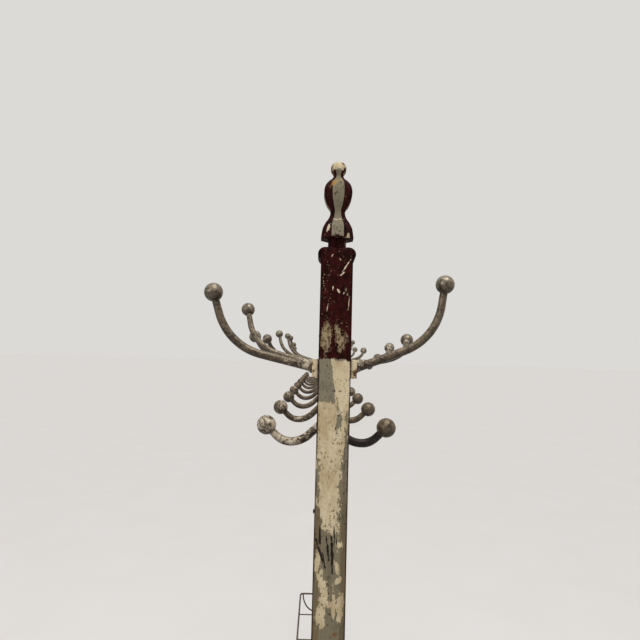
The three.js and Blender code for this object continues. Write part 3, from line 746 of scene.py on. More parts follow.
def grown(carrier_mesh, tree, values):
    """The plain mesh that a geometry tree grows from a mesh, with inputs set by their names."""
    carrier = bpy.data.objects.new("carrier", carrier_mesh)
    bpy.context.collection.objects.link(carrier)
    modifier = carrier.modifiers.new("grow", "NODES")
    modifier.node_group = tree
    for item in tree.interface.items_tree:
        if item.in_out == "INPUT" and item.name in values:
            modifier[item.identifier] = values[item.name]
    graph = bpy.context.evaluated_depsgraph_get()
    made = bpy.data.meshes.new_from_object(carrier.evaluated_get(graph))
    bpy.data.objects.remove(carrier)
    return made


def finish_tree(tree, shape, ends, slot):
    """Closes a tree with Realize Instances and Set Material."""
    real = add(tree, "GeometryNodeRealizeInstances", {0: shape})
    painted = add(tree, "GeometryNodeSetMaterial", {"Geometry": real.outputs[0]})
    painted.inputs["Material"].default_value = finish_named(slot)
    tree.links.new(painted.outputs[0], ends.inputs[0])


# ---------- Forged rods ----------

TREES = {}


def forged_rod_tree():
    """A rod swept along a wire with the thickness stored on it, with shallow hammer marks."""
    if "forged" in TREES:
        return TREES["forged"]
    tree, start, ends = new_tree(
        "forged_rod",
        [
            ("Wire", "Geometry", None),
            ("Sides", "Int", 20),
            ("Mark Depth", "Float", 0.2 * MM),
            ("Mark Scale", "Float", per(9)),
            ("Seed", "Float", 0.0),
        ],
    )
    wire = add(tree, "GeometryNodeMeshToCurve", {"Mesh": start.outputs["Wire"]})
    ring = add(
        tree, "GeometryNodeCurvePrimitiveCircle", {"Resolution": start.outputs["Sides"], "Radius": 1.0}
    )
    thickness = add(tree, "GeometryNodeInputNamedAttribute", {"Name": "thickness"}, data_type="FLOAT")
    swept = add(
        tree,
        "GeometryNodeCurveToMesh",
        {
            "Curve": wire.outputs[0],
            "Profile Curve": ring.outputs[0],
            "Scale": thickness.outputs[0],
            "Fill Caps": True,
        },
    )
    marks = add(
        tree,
        "ShaderNodeTexNoise",
        {"W": start.outputs["Seed"], "Scale": start.outputs["Mark Scale"], "Detail": 2.0},
        noise_dimensions="4D",
    )
    centred = add(tree, "ShaderNodeMath", {0: marks.outputs[0], 1: 0.5}, operation="SUBTRACT")
    depth = add(
        tree, "ShaderNodeMath", {0: centred.outputs[0], 1: start.outputs["Mark Depth"]}, operation="MULTIPLY"
    )
    doubled = add(tree, "ShaderNodeMath", {0: depth.outputs[0], 1: 2.0}, operation="MULTIPLY")
    normal = add(tree, "GeometryNodeInputNormal")
    push = add(
        tree, "ShaderNodeVectorMath", {0: normal.outputs[0], "Scale": doubled.outputs[0]}, operation="SCALE"
    )
    beaten = add(
        tree, "GeometryNodeSetPosition", {"Geometry": swept.outputs[0], "Offset": push.outputs[0]}
    )
    # The normal's upward share is stored for the worn iron's painted shade on undersides.
    facing = add(tree, "ShaderNodeSeparateXYZ", {0: normal.outputs[0]})
    tagged = add(
        tree,
        "GeometryNodeStoreNamedAttribute",
        {"Geometry": beaten.outputs[0], "Name": "facing_up", "Value": facing.outputs["Z"]},
        data_type="FLOAT",
        domain="POINT",
    )
    smooth = add(tree, "GeometryNodeSetShadeSmooth", {"Geometry": tagged.outputs[0]})
    bend = add(tree, "GeometryNodeInputMeshEdgeAngle")
    crisp = add(
        tree,
        "FunctionNodeCompare",
        {0: bend.outputs[0], 1: math.radians(38)},
        data_type="FLOAT",
        operation="GREATER_THAN",
    )
    edged = add(
        tree,
        "GeometryNodeSetShadeSmooth",
        {"Geometry": smooth.outputs[0], "Selection": crisp.outputs[0], "Shade Smooth": False},
        domain="EDGE",
    )
    finish_tree(tree, edged.outputs[0], ends, "worn_iron")
    TREES["forged"] = tree
    return tree


def forge(stations, closed=False, sides=20, marks=0.0, seed=0.0, paint=0.0, bright=0.0):
    """A forged rod's mesh from (point, radius) or (point, radius, paint, bright) stations."""
    wire = bpy.data.meshes.new("wire")
    count = len(stations)
    links = [(i, (i + 1) % count) for i in range(count if closed else count - 1)]
    wire.from_pydata([station[0] for station in stations], links, [])
    for order, (name, fallback) in enumerate((("thickness", 0.0), ("paint", paint), ("bright", bright)), 1):
        layer = wire.attributes.new(name, "FLOAT", "POINT")
        for index, station in enumerate(stations):
            layer.data[index].value = station[order] if len(station) > order else fallback
    return grown(wire, forged_rod_tree(), {"Sides": sides, "Mark Depth": marks, "Seed": seed})


class BentWire:
    """A wire in one plane made of straight runs and round bends, read by the distance along it."""

    def __init__(self, start, heading, legs):
        self.start, self.heading, self.legs = Vector(start), math.radians(heading), legs
        self.length = sum(
            leg[0] if len(leg) == 1 else abs(math.radians(leg[0])) * leg[1] for leg in legs
        )

    def at(self, distance):
        """The point at a distance; past the end the wire runs straight on."""
        point, angle = self.start.copy(), self.heading
        for leg in self.legs:
            length = leg[0] if len(leg) == 1 else abs(math.radians(leg[0])) * leg[1]
            here = min(distance, length)
            if len(leg) == 1:
                point += Vector((math.cos(angle), math.sin(angle))) * here
            else:
                turn = math.copysign(here / leg[1], leg[0])
                chord = 2 * leg[1] * math.sin(abs(turn) / 2)
                point += Vector((math.cos(angle + turn / 2), math.sin(angle + turn / 2))) * chord
                angle += turn
            distance -= here
            if distance <= 0:
                return point
        return point + Vector((math.cos(angle), math.sin(angle))) * distance


def ball_rings(radius, neck):
    """(distance from the centre, radius, is the neck) rings of a ball, from its neck to its crown."""
    first = -math.acos(neck / radius)
    rings = []
    count = 15
    for i in range(count + 1):
        angle = first + (math.radians(88) - first) * i / count
        rings.append((radius * math.sin(angle), radius * math.cos(angle)))
    return rings


def rod_with_ball(wire, rod, ball, neck_share=0.92):
    """(distance, radius) stations of a rod that ends in a forged ball centred on the wire's end."""
    neck = rod * neck_share
    rings = ball_rings(ball, neck)
    ball_start = wire.length + rings[0][0]
    stations = []
    steps = int(ball_start / (3.5 * MM))
    for i in range(1, steps + 1):
        share = i / (steps + 1)
        waist = rod - (rod - neck) * max(0.0, share - 0.75) * 4
        stations.append((ball_start * share, waist))
    return stations + [(wire.length + offset, max(radius, 0.3 * MM)) for offset, radius in rings]


# ---------- Posts ----------

TENON_HALF = 12 * MM
CHAMFER_FOOT = 150 * MM
CHAMFER_STOP = 15 * MM
CHAMFER_TOP = -90 * MM  # from the rail's top edge, as are the heights below
SHOULDER_FOOT = 116.5 * MM
SHOULDER_RISE = 16.8 * MM
SHOULDER_WIDTH = 45.5 * MM
SHOULDER_INSET = 3 * MM
FINIAL_BALL = 9.5 * MM
FINIAL_START = 133.6 * MM
GROOVE = ((134.2, 21.6), (145.5, 21.6))
SKIRT = (
    (145.8, 39.4), (150.4, 38.6), (158.5, 35.6), (165.8, 28.8), (170.5, 22.6), (174.6, 19.1), (179.8, 17.4),
)  # fmt: skip
BULB = (
    (179.8, 17.4), (182.9, 19.9), (188, 26.6), (196.3, 32.9), (205, 34.5),
    (212.7, 30.8), (218.4, 22.6), (222, 14.8), (225, 11.8),
)  # fmt: skip


def curve_through(points, pieces=4):
    """A smooth run through (height, width) points."""
    vectors = [Vector(point) for point in points]
    padded = [2 * vectors[0] - vectors[1], *vectors, 2 * vectors[-1] - vectors[-2]]
    made = []
    for a, b, c, d in zip(padded, padded[1:], padded[2:], padded[3:]):
        for i in range(pieces):
            t = i / pieces
            squared, cubed = 2 * a - 5 * b + 4 * c - d, 3 * b - a - 3 * c + d
            made.append(0.5 * (2 * b + (c - a) * t + squared * t**2 + cubed * t**3))
    made.append(vectors[-1])
    return made


def post_rings():
    """(height, half width, half of the flat face, wing) rings of a post, from its foot up."""
    settings = sizes()
    rings = []

    def square(z, half, cut, wing=0.0):
        rings.append((z, half, half - cut, wing))

    arris = settings.arris
    square(POST_BASE - 20 * MM, TENON_HALF, arris)
    square(POST_BASE + 0.3 * MM, TENON_HALF, arris)
    square(POST_BASE + 0.3 * MM, POST_HALF - arris, arris)
    square(POST_BASE + 0.9 * MM, POST_HALF, arris)
    square(CHAMFER_FOOT, POST_HALF, arris)
    for i in range(1, 5):
        share = math.sin(i / 4 * math.pi / 2)
        z = CHAMFER_FOOT + CHAMFER_STOP * i / 4
        square(z, POST_HALF, arris + (settings.chamfer - arris) * share, 0.4)
    for i in range(4, -1, -1):
        share = math.sin(i / 4 * math.pi / 2)
        z = RAIL_TOP + CHAMFER_TOP - CHAMFER_STOP * i / 4
        square(z, POST_HALF, arris + (settings.chamfer - arris) * share, 0.4 if i else 0.0)
    for degrees in range(0, 91, 15):
        angle = math.radians(degrees)
        inset = 5 * MM * (1 - math.cos(angle))
        square(RAIL_TOP + FINIAL_START - 5 * MM * (1 - math.sin(angle)), POST_HALF - inset, arris)

    def moulded(z, half):
        rings.append((z, half, min(settings.strip / 2, half * math.tan(math.pi / 8)), 1.0))

    for run in (GROOVE, curve_through(SKIRT), curve_through(BULB)[1:]):
        for height, width in run:
            moulded(RAIL_TOP + height * MM, width / 2 * MM)
    centre = POST_TOP - FINIAL_BALL
    for degrees in range(-45, 90, 15):
        angle = math.radians(degrees)
        moulded(centre + FINIAL_BALL * math.sin(angle), FINIAL_BALL * math.cos(angle))
    moulded(POST_TOP - 0.05 * MM, 1.0 * MM)
    return rings


def add_post_shaft(builder, y):
    """Lofts the eight-sided rings and marks the faces that are wings or chamfers."""
    wings = builder.faces.layers.float.new("wing")
    loops = []
    rings = post_rings()
    for z, half, flat, _ in rings:
        corners = (
            (flat, half), (-flat, half), (-half, flat), (-half, -flat),
            (-flat, -half), (flat, -half), (half, -flat), (half, flat),
        )  # fmt: skip
        loops.append([builder.verts.new((px, y + py, z)) for px, py in corners])
    for index, (lower, upper) in enumerate(zip(loops, loops[1:])):
        for k in range(8):
            face = builder.faces.new((lower[k], lower[(k + 1) % 8], upper[(k + 1) % 8], upper[k]))
            if k % 2:
                face[wings] = min(rings[index][3], rings[index + 1][3])
    builder.faces.new(list(reversed(loops[0])))
    builder.faces.new(loops[-1])


def add_shoulder(builder, y):
    """The half-round moulding under the finial, proud of the post's two sides, with softened ends."""
    radius = SHOULDER_RISE / 2
    reach = SHOULDER_WIDTH / 2 - radius
    depth = POST_HALF - SHOULDER_INSET
    centre = RAIL_TOP + SHOULDER_FOOT + radius + 0.4 * MM
    soften = 1.6 * MM
    loops = []
    for inset, along in ((soften, -depth), (0.35 * soften, -depth + 0.4 * soften), (0, -depth + soften)):
        loops.append((inset, along))
    loops += [(inset, -along) for inset, along in reversed(loops)]
    rows = []
    for inset, along in loops:
        row = []
        for side in (1, -1):
            for degrees in range(-90, 91, 15):
                angle = math.radians(degrees) if side > 0 else math.radians(180 + degrees)
                x = side * reach + (radius - inset) * math.cos(angle)
                z = centre + (radius - inset) * math.sin(angle)
                row.append(builder.verts.new((x, y + along, z)))
        rows.append(row)
    for lower, upper in zip(rows, rows[1:]):
        count = len(lower)
        for k in range(count):
            builder.faces.new((lower[k], lower[(k + 1) % count], upper[(k + 1) % count], upper[k]))
    builder.faces.new(list(reversed(rows[0])))
    builder.faces.new(rows[-1])


class RACK_OT_posts(bpy.types.Operator):
    """Two square posts with stopped chamfers, a half-round shoulder and a moulded finial"""

    bl_idname = "rack.posts"
    bl_label = "Posts"

    def execute(self, context):
        for end, sign in ENDS.items():
            builder = bmesh.new()
            add_post_shaft(builder, sign * POST_Y)
            add_shoulder(builder, sign * POST_Y)
            bmesh.ops.recalc_face_normals(builder, faces=builder.faces)
            mesh = mesh_from(builder, f"{end}_post_timber", 28)
            place_piece(f"{end}_post_timber", mesh, "post_paint", f"{end}_post")
        return {"FINISHED"}


# ---------- Rails ----------


def flat_bar(low, high, holes, rounding):
    """Rolled flat bar with drawn edges and drilled holes, each a (y, z, radius)."""
    builder = bmesh.new()
    add_block(builder, low, high)
    bar = evaluated(mesh_from(builder, "bar"), ("BEVEL", {"width": rounding, **ROUNDING}))
    drill = bmesh.new()
    for y, z, radius in holes:
        add_drum(drill, Vector(((low.x + high.x) / 2, y, z)), (1, 0, 0), radius, (high.x - low.x) * 2)
    cutter = mesh_from(drill, "drill")
    made = evaluated(bar, ("BOOLEAN", {"operation": "DIFFERENCE", "solver": "EXACT"}), cutter=cutter)
    made.shade_smooth()
    made.set_sharp_from_angle(angle=math.radians(30))
    return made


def weld_bead_tree():
    """Lumpy rings of weld on both faces of a rail, at even steps along it."""
    tree, start, ends = new_tree(
        "weld_beads",
        [
            ("Start", "Geometry", None),
            ("Count", "Int", 10),
            ("Pitch", "Float", 0.225),
            ("Ring", "Float", 6.2 * MM),
            ("Bead", "Float", 1.7 * MM),
            ("Half Rail", "Float", 3 * MM),
            ("Lumps", "Float", 0.9 * MM),
        ],
    )
    step_along = add(tree, "ShaderNodeCombineXYZ", {"Y": start.outputs["Pitch"]})
    line = add(
        tree, "GeometryNodeMeshLine", {"Count": start.outputs["Count"], "Offset": step_along.outputs[0]}
    )
    ring = add(tree, "GeometryNodeCurvePrimitiveCircle", {"Resolution": 28, "Radius": start.outputs["Ring"]})
    section = add(
        tree, "GeometryNodeCurvePrimitiveCircle", {"Resolution": 10, "Radius": start.outputs["Bead"]}
    )
    bead = add(
        tree, "GeometryNodeCurveToMesh", {"Curve": ring.outputs[0], "Profile Curve": section.outputs[0]}
    )
    both = add(tree, "GeometryNodeJoinGeometry")
    for sign in (-1, 1):
        half_rail = start.outputs["Half Rail"]
        offset = add(tree, "ShaderNodeMath", {0: half_rail, 1: float(sign)}, operation="MULTIPLY")
        shift = add(tree, "ShaderNodeCombineXYZ", {"X": offset.outputs[0]})
        turned = add(
            tree,
            "GeometryNodeTransform",
            {"Geometry": bead.outputs[0], "Translation": shift.outputs[0], "Rotation": (0, math.pi / 2, 0)},
        )
        tree.links.new(turned.outputs[0], both.inputs[0])
    beads = add(
        tree, "GeometryNodeInstanceOnPoints", {"Points": line.outputs[0], "Instance": both.outputs[0]}
    )
    real = add(tree, "GeometryNodeRealizeInstances", {0: beads.outputs[0]})
    lumps = add(tree, "ShaderNodeTexNoise", {"Scale": per(4), "Detail": 1.0})
    centred = add(
        tree, "ShaderNodeVectorMath", {0: lumps.outputs["Color"], 1: (0.5, 0.5, 0.5)}, operation="SUBTRACT"
    )
    push = add(
        tree,
        "ShaderNodeVectorMath",
        {0: centred.outputs[0], "Scale": start.outputs["Lumps"]},
        operation="SCALE",
    )
    lumpy = add(tree, "GeometryNodeSetPosition", {"Geometry": real.outputs[0], "Offset": push.outputs[0]})
    smooth = add(tree, "GeometryNodeSetShadeSmooth", {"Geometry": lumpy.outputs[0]})
    finish_tree(tree, smooth.outputs[0], ends, "worn_iron")
    return tree


class RACK_OT_rails(bpy.types.Operator):
    """The two upper flat rails, the lower rail and its weld beads"""

    bl_idname = "rack.rails"
    bl_label = "Rails"

    def execute(self, context):
        pivots = [(station_y(n), HOOK_AXIS, 4.2 * MM) for n in STATIONS]
        bolts = [(sign * POST_Y, HOOK_AXIS, 3.3 * MM) for sign in ENDS.values()]
        for row in ROWS:
            node = f"upper_rail_{row}"
            bar = flat_bar(*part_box(node), pivots + bolts, 1.1 * MM)
            place_piece(f"{node}_bar", bar, "rail_paint", node)
        settings = sizes()
        holes = [(station_y(n), LOWER_RAIL.z, settings.rod + 0.3 * MM) for n in STATIONS]
        bar = flat_bar(*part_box("lower_rail"), holes, 1.0 * MM)
        place_piece("lower_rail_bar", bar, "rail_paint", "lower_rail")
        beads = grown(
            bpy.data.meshes.new("beads"),
            weld_bead_tree(),
            {
                "Count": len(STATIONS),
                "Pitch": station_y(2) - station_y(1),
                "Half Rail": span("lower_rail").x / 2,
            },
        )
        beads.transform(Matrix.Translation((LOWER_RAIL.x, station_y(1), LOWER_RAIL.z)))
        place_piece("lower_rail_weld_beads", beads, "worn_iron", "lower_rail")
        return {"FINISHED"}


# ---------- Hooks ----------

ARM_ROOT = RAIL_FACE + 3.7 * MM
ARM_RISE = 17
ARM_LEGS = ((62.7 * MM,), (60, 75 * MM), (27.5 * MM,))
LOWER_FLAT = 5 * MM
LOWER_LEGS = ((22.3 * MM,), (44, 33 * MM), (45, 26 * MM), (17 * MM,))

# Distance from the posts' centre plane and radius of a hook's hammered head, tail and collar.
TAIL_PROFILE = (
    (15.85, 0.4), (15.9, 3.6), (16.2, 5.4), (16.9, 6.6), (17.7, 6.95), (18.9, 6.9), (18.97, 4.0),
    (26.55, 4.0), (26.62, 7.4), (26.9, 7.9), (28.4, 8.0), (29.3, 7.5), (29.9, 6.4), (30.4, 5.6),
)  # fmt: skip


def ball_centre(points, crown, radius):
    """Centre of the ball under a crown: the sphere that best fits the points near it."""
    sums, target = Matrix.Diagonal((0, 0, 0, 0)), Vector((0, 0, 0, 0))
    for point in points:
        offset = (point - crown) / radius
        if offset.length < 1.15:
            row = Vector((2 * offset.x, 2 * offset.y, 2 * offset.z, 1))
            sums += Matrix([row * value for value in row])
            target += row * offset.length_squared
    return crown + (sums.inverted() @ target).xyz * radius


def arm_pose(node, sign):
    """How far a CAD hook has turned on its pivot and been bent off its rise, from its ball's centre."""
    y = station_y(int(node[-2:]))
    pivot = Vector((sign * ARM_ROOT, y, HOOK_AXIS))
    points = [vertex.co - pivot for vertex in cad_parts[node].data.vertices]
    crown = max(points, key=lambda p: p.y**2 + p.z**2)
    true_arm = BentWire((0, 0), ARM_RISE, ARM_LEGS)
    true_centre = true_arm.at(true_arm.length)
    centre = ball_centre(points, crown, sizes().ball)
    lean = math.atan2(centre.y, centre.z)
    rise = math.atan2(math.hypot(centre.y, centre.z), sign * centre.x)
    return y, lean, rise - math.atan2(true_centre.y, true_centre.x)


def upper_hook(node, sign, look):
    """One swivel hook: hammered head, tail, collar, arm and ball in a single forging."""
    settings = sizes()
    y, lean, bent = arm_pose(node, sign)
    paint, bright, seed = look
    stations = []
    for along, radius in TAIL_PROFILE:
        stations.append((Vector((sign * along * MM, y, HOOK_AXIS)), radius * MM, paint + 0.12, bright))
    wire = BentWire((0, 0), ARM_RISE + math.degrees(bent), ARM_LEGS)
    for distance, radius in rod_with_ball(wire, settings.rod, settings.ball):
        u, v = wire.at(distance)
        point = Vector((sign * (ARM_ROOT + u), y + v * math.sin(lean), HOOK_AXIS + v * math.cos(lean)))
        root = 0.15 * max(0.0, 1 - distance / (50 * MM))
        on_ball = 0.35 if distance > wire.length - 9 * MM else 0.0
        ring = 0.30 if abs(distance - wire.length + 12 * MM) < 1.5 * MM else 0.0
        stations.append((point, radius, paint + root + ring * 0.5, bright + on_ball))
    return forge(stations, marks=settings.hammer, seed=seed)


# Paint left and brightness of the nearest hooks; the rest vary by a seeded draw.
UPPER_LOOKS = {"upper_hook_left_01": (0.36, 0.1), "upper_hook_right_01": (0.34, 0.15)}
# The same for the left and right ball and the left and right rod of a lower hook.
LOWER_LOOKS = {
    "lower_hook_01": ((0.48, 0.32, 0.51, 0.18), (0.3, 0.1)),
    "lower_hook_02": ((0.45, 0.30, 0.46, 0.31), (0.1, 0.1)),
}


class RACK_OT_upper_hooks(bpy.types.Operator):
    """The swivel hooks on both upper rails, each turned as its CAD hook is"""

    bl_idname = "rack.upper_hooks"
    bl_label = "Upper hooks"

    def execute(self, context):
        draw = random.Random(11)
        for row, sign in ROWS.items():
            for number in STATIONS:
                node = f"upper_hook_{row}_{number:02d}"
                paint, bright, seed = draw.uniform(0.34, 0.46), draw.uniform(0.0, 0.3), draw.uniform(0, 50)
                paint, bright = UPPER_LOOKS.get(node, (paint, bright))
                mesh = upper_hook(node, sign, (paint, bright, seed))
                place_piece(f"{node}_forging", mesh, "worn_iron", node, body=node)
        return {"FINISHED"}


def lower_hook(y, paints, brights, seed):
    """A rod through the lower rail with a shallow hook and a ball on each side."""
    settings = sizes()
    wire = BentWire((LOWER_FLAT, 0), -44, LOWER_LEGS)
    arm = [((0.0, 0.0), settings.rod, False)]
    for distance, radius in rod_with_ball(wire, settings.rod, settings.ball):
        arm.append((wire.at(distance), radius, distance > wire.length - settings.ball))
    stations = []
    for side, sign in enumerate((-1, 1)):
        run = []
        for (x, z), radius, on_ball in arm:
            point = Vector((LOWER_RAIL.x + sign * x, y, LOWER_RAIL.z + z))
            paint = paints[side if on_ball else side + 2]
            run.append((point, radius, paint, brights[side] if on_ball else 0.0))
        stations += list(reversed(run)) if sign < 0 else run[1:]
    return forge(stations, marks=settings.hammer, seed=seed)


class RACK_OT_lower_hooks(bpy.types.Operator):
    """The fixed double hooks through the lower rail"""

    bl_idname = "rack.lower_hooks"
    bl_label = "Lower hooks"

    def execute(self, context):
        draw = random.Random(23)
        for number in STATIONS:
            node = f"lower_hook_{number:02d}"
            paints = tuple(draw.uniform(0.33, 0.48) for _ in range(4))
            brights, seed = (draw.uniform(0.0, 0.3), draw.uniform(0.0, 0.3)), draw.uniform(0, 50)
            paints, brights = LOWER_LOOKS.get(node, (paints, brights))
            mesh = lower_hook(station_y(number), paints, brights, seed)
            place_piece(f"{node}_forging", mesh, "worn_iron", node)
        return {"FINISHED"}


# ---------- Umbrella rail ----------

CORNER = 16 * MM
BRACKET_ROD = 3.4 * MM
BRACKET_EYE = 9 * MM


def rounded_loop(half_width, half_length, corner, height):
    """Points of a rounded rectangle that lies flat, every few millimetres along it."""
    points = []
    for quarter, (sx, sy) in enumerate(((1, 1), (-1, 1), (-1, -1), (1, -1))):
        centre = Vector((sx * (half_width - corner), sy * (half_length - corner), height))
        for i in range(9):
            angle = (quarter + i / 8) * math.pi / 2
            points.append(centre + corner * Vector((math.cos(angle), math.sin(angle), 0)))
    filled = []
    for here, there in zip(points, points[1:] + points[:1]):
        pieces = max(1, round((there - here).length / (12 * MM)))
        filled += [here.lerp(there, i / pieces) for i in range(pieces)]
    return filled


def cross_rod_tree():
    """Rods laid across the frame at even steps, each with a weld bead at both ends."""
    tree, start, ends = new_tree(
        "cross_rods",
        [
            ("Start", "Geometry", None),
            ("Count", "Int", 9),
            ("Pitch", "Float", 0.2),
            ("Length", "Float", 0.18),
            ("Rod", "Float", 2.5 * MM),
            ("Bead", "Float", 3.6 * MM),
            ("Lumps", "Float", 0.8 * MM),
        ],
    )
    along = add(tree, "ShaderNodeCombineXYZ", {"Y": start.outputs["Pitch"]})
    line = add(tree, "GeometryNodeMeshLine", {"Count": start.outputs["Count"], "Offset": along.outputs[0]})
    rod = add(
        tree,
        "GeometryNodeMeshCylinder",
        {
            "Vertices": 16,
            "Side Segments": 40,
            "Radius": start.outputs["Rod"],
            "Depth": start.outputs["Length"],
        },
    )
    both = add(tree, "GeometryNodeJoinGeometry")
    lying = add(
        tree, "GeometryNodeTransform", {"Geometry": rod.outputs[0], "Rotation": (0, math.pi / 2, 0)}
    )
    tree.links.new(lying.outputs[0], both.inputs[0])
    bead = add(
        tree,
        "GeometryNodeMeshUVSphere",
        {"Segments": 16, "Rings": 10, "Radius": start.outputs["Bead"]},
    )
    for sign in (-0.5, 0.5):
        reach = add(tree, "ShaderNodeMath", {0: start.outputs["Length"], 1: sign}, operation="MULTIPLY")
        place = add(tree, "ShaderNodeCombineXYZ", {"X": reach.outputs[0]})
        moved = add(
            tree, "GeometryNodeTransform", {"Geometry": bead.outputs[0], "Translation": place.outputs[0]}
        )
        tree.links.new(moved.outputs[0], both.inputs[0])
    rods = add(tree, "GeometryNodeInstanceOnPoints", {"Points": line.outputs[0], "Instance": both.outputs[0]})
    real = add(tree, "GeometryNodeRealizeInstances", {0: rods.outputs[0]})
    lumps = add(tree, "ShaderNodeTexNoise", {"Scale": per(6), "Detail": 1.0})
    centred = add(
        tree, "ShaderNodeVectorMath", {0: lumps.outputs["Color"], 1: (0.5, 0.5, 0.5)}, operation="SUBTRACT"
    )
    push = add(
        tree,
        "ShaderNodeVectorMath",
        {0: centred.outputs[0], "Scale": start.outputs["Lumps"]},
        operation="SCALE",
    )
    lumpy = add(tree, "GeometryNodeSetPosition", {"Geometry": real.outputs[0], "Offset": push.outputs[0]})
    smooth = add(tree, "GeometryNodeSetShadeSmooth", {"Geometry": lumpy.outputs[0]})
    finish_tree(tree, smooth.outputs[0], ends, "dark_iron")
    return tree


def bracket_stations(low, high):
    """A half-ellipse of rod on a post's face: its ends carry the end bar, its eye is at the bottom."""
    top, foot = high.z, low.z + BRACKET_EYE
    half_span = (high.x - low.x) / 2 - BRACKET_ROD
    y = (low.y + high.y) / 2
    stations = []
    for i in range(49):
        angle = math.pi * i / 48
        point = Vector((half_span * math.cos(angle), y, top - (top - foot) * math.sin(angle)))
        stations.append((point, BRACKET_ROD))
    return stations


class RACK_OT_umbrella_rail(bpy.types.Operator):
    """The rod frame that holds umbrellas upright, its cross rods and its two brackets"""

    bl_idname = "rack.umbrella_rail"
    bl_label = "Umbrella rail"

    def execute(self, context):
        settings = sizes()
        rod = settings.umbrella_rod
        low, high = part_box("umbrella_end_near")[0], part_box("umbrella_end_far")[1]
        half_width, half_length = high.x - rod, high.y - rod
        height = (low.z + high.z) / 2
        loop = [(point, rod) for point in rounded_loop(half_width, half_length, CORNER, height)]
        frame_mesh = forge(loop, closed=True, sides=16, marks=0.12 * MM, seed=4.0, paint=0.16)
        nodes = ["umbrella_side_left", "umbrella_side_right", "umbrella_end_near", "umbrella_end_far"]
        place_piece("umbrella_frame_rod", frame_mesh, "dark_iron", *nodes)
        crossings = [f"umbrella_cross_{number:02d}" for number in STATIONS[:-1]]
        first, second = middle(crossings[0]), middle(crossings[1])
        rods = grown(
            bpy.data.meshes.new("rods"),
            cross_rod_tree(),
            {
                "Count": len(crossings),
                "Pitch": second.y - first.y,
                "Length": 2 * (half_width - 0.6 * rod),
                "Rod": settings.cross_rod,
            },
        )
        rods.transform(Matrix.Translation(first))
        place_piece("umbrella_cross_rods", rods, "dark_iron", *crossings)
        for end in ENDS:
            node = f"{end}_umbrella_bracket"
            low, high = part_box(node)
            arch = forge(bracket_stations(low, high), sides=14, marks=0.12 * MM, seed=7.0, paint=0.2)
            place_piece(f"{node}_arch", arch, "dark_iron", node)
            eye = bracket_eye(end)
            place_piece(f"{node}_eye", eye, "dark_iron", node)
        return {"FINISHED"}


def bracket_eye(end):
    """The flattened eye at the top of a bracket, pierced for its screw."""
    low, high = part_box(f"{end}_umbrella_bracket")
    centre = Vector((0, (low.y + high.y) / 2, low.z + BRACKET_EYE))
    builder = bmesh.new()
    add_drum(builder, centre, (0, 1, 0), BRACKET_EYE, high.y - low.y, 32)
    drum = evaluated(mesh_from(builder, "eye"), ("BEVEL", {"width": 1.4 * MM, **ROUNDING}))
    drill = bmesh.new()
    add_drum(drill, centre, (0, 1, 0), 2.6 * MM, (high.y - low.y) * 2, 20)
    cutter = mesh_from(drill, "drill")
    made = evaluated(drum, ("BOOLEAN", {"operation": "DIFFERENCE", "solver": "EXACT"}), cutter=cutter)
    made.shade_smooth()
    made.set_sharp_from_angle(angle=math.radians(30))
    return made


# ---------- Feet and stretcher ----------

FOOT_PAD = 70 * MM
FOOT_ARCH = 12 * MM
FOOT_TOE = 26 * MM
FOOT_FLAT_TOP = 46 * MM  # half of the level top where the post stands


def foot_outline(half, height):
    """Half-profile points of a foot: pads, a low arch between them and toes that slope down."""
    points = [(half - 2 * MM, 0.0), (half, 2 * MM)]
    points += [(half, FOOT_TOE - 6 * MM)]
    for i in range(1, 7):
        angle = math.radians(15 * i)
        points.append((half - 6 * MM * (1 - math.cos(angle)), FOOT_TOE - 6 * MM + 6 * MM * math.sin(angle)))
    start, finish = Vector((half - 6 * MM, FOOT_TOE)), Vector((FOOT_FLAT_TOP, height))
    for i in range(1, 13):
        share = i / 12
        ease = share * share * (3 - 2 * share)
        points.append((start.x + (finish.x - start.x) * share, start.y + (finish.y - start.y) * ease))
    under = [(half - FOOT_PAD, 0.0)]
    reach = half - FOOT_PAD
    for i in range(1, 9):
        share = i / 8
        ease = share * share * (3 - 2 * share)
        under.append((reach - min(reach, 40 * MM) * share, FOOT_ARCH * ease))
    right = [(x, z) for x, z in under[::-1]] + points
    left = [(-x, z) for x, z in reversed(right)]
    return right + left


def timber_solid(outline, y_low, y_high, name, rounding):
    """A board cut to an outline, with worn, rounded edges."""
    builder = bmesh.new()
    front = [builder.verts.new((x, y_low, z)) for x, z in outline]
    back = [builder.verts.new((x, y_high, z)) for x, z in outline]
    count = len(outline)
    for i in range(count):
        builder.faces.new((front[i], front[(i + 1) % count], back[(i + 1) % count], back[i]))
    builder.faces.new(list(reversed(front)))
    builder.faces.new(back)
    bmesh.ops.recalc_face_normals(builder, faces=builder.faces)
    plain = mesh_from(builder, name)
    return evaluated(plain, ("BEVEL", {"width": rounding, **ROUNDING}))


class RACK_OT_feet(bpy.types.Operator):
    """The two cross feet and the stretcher between them"""

    bl_idname = "rack.feet"
    bl_label = "Feet and stretcher"

    def execute(self, context):
        for end in ENDS:
            node = f"{end}_foot"
            low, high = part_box(node)
            mesh = timber_solid(foot_outline(high.x, high.z), low.y, high.y, node, 2.2 * MM)
            finish_timber(mesh)
            place_piece(f"{node}_timber", mesh, "foot_paint", node)
        low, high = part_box("stretcher")
        builder = bmesh.new()
        add_block(builder, low, high)
        board = evaluated(mesh_from(builder, "board"), ("BEVEL", {"width": 2.0 * MM, **ROUNDING}))
        finish_timber(board)
        place_piece("stretcher_timber", board, "foot_paint", "stretcher")
        return {"FINISHED"}


def finish_timber(mesh):
    """Shades a board and marks its rounded edges as worn."""
    mesh.shade_smooth()
    mesh.set_sharp_from_angle(angle=math.radians(32))
    mark_worn_edges(mesh, 60 * MM * MM)


# ---------- Drip tray ----------

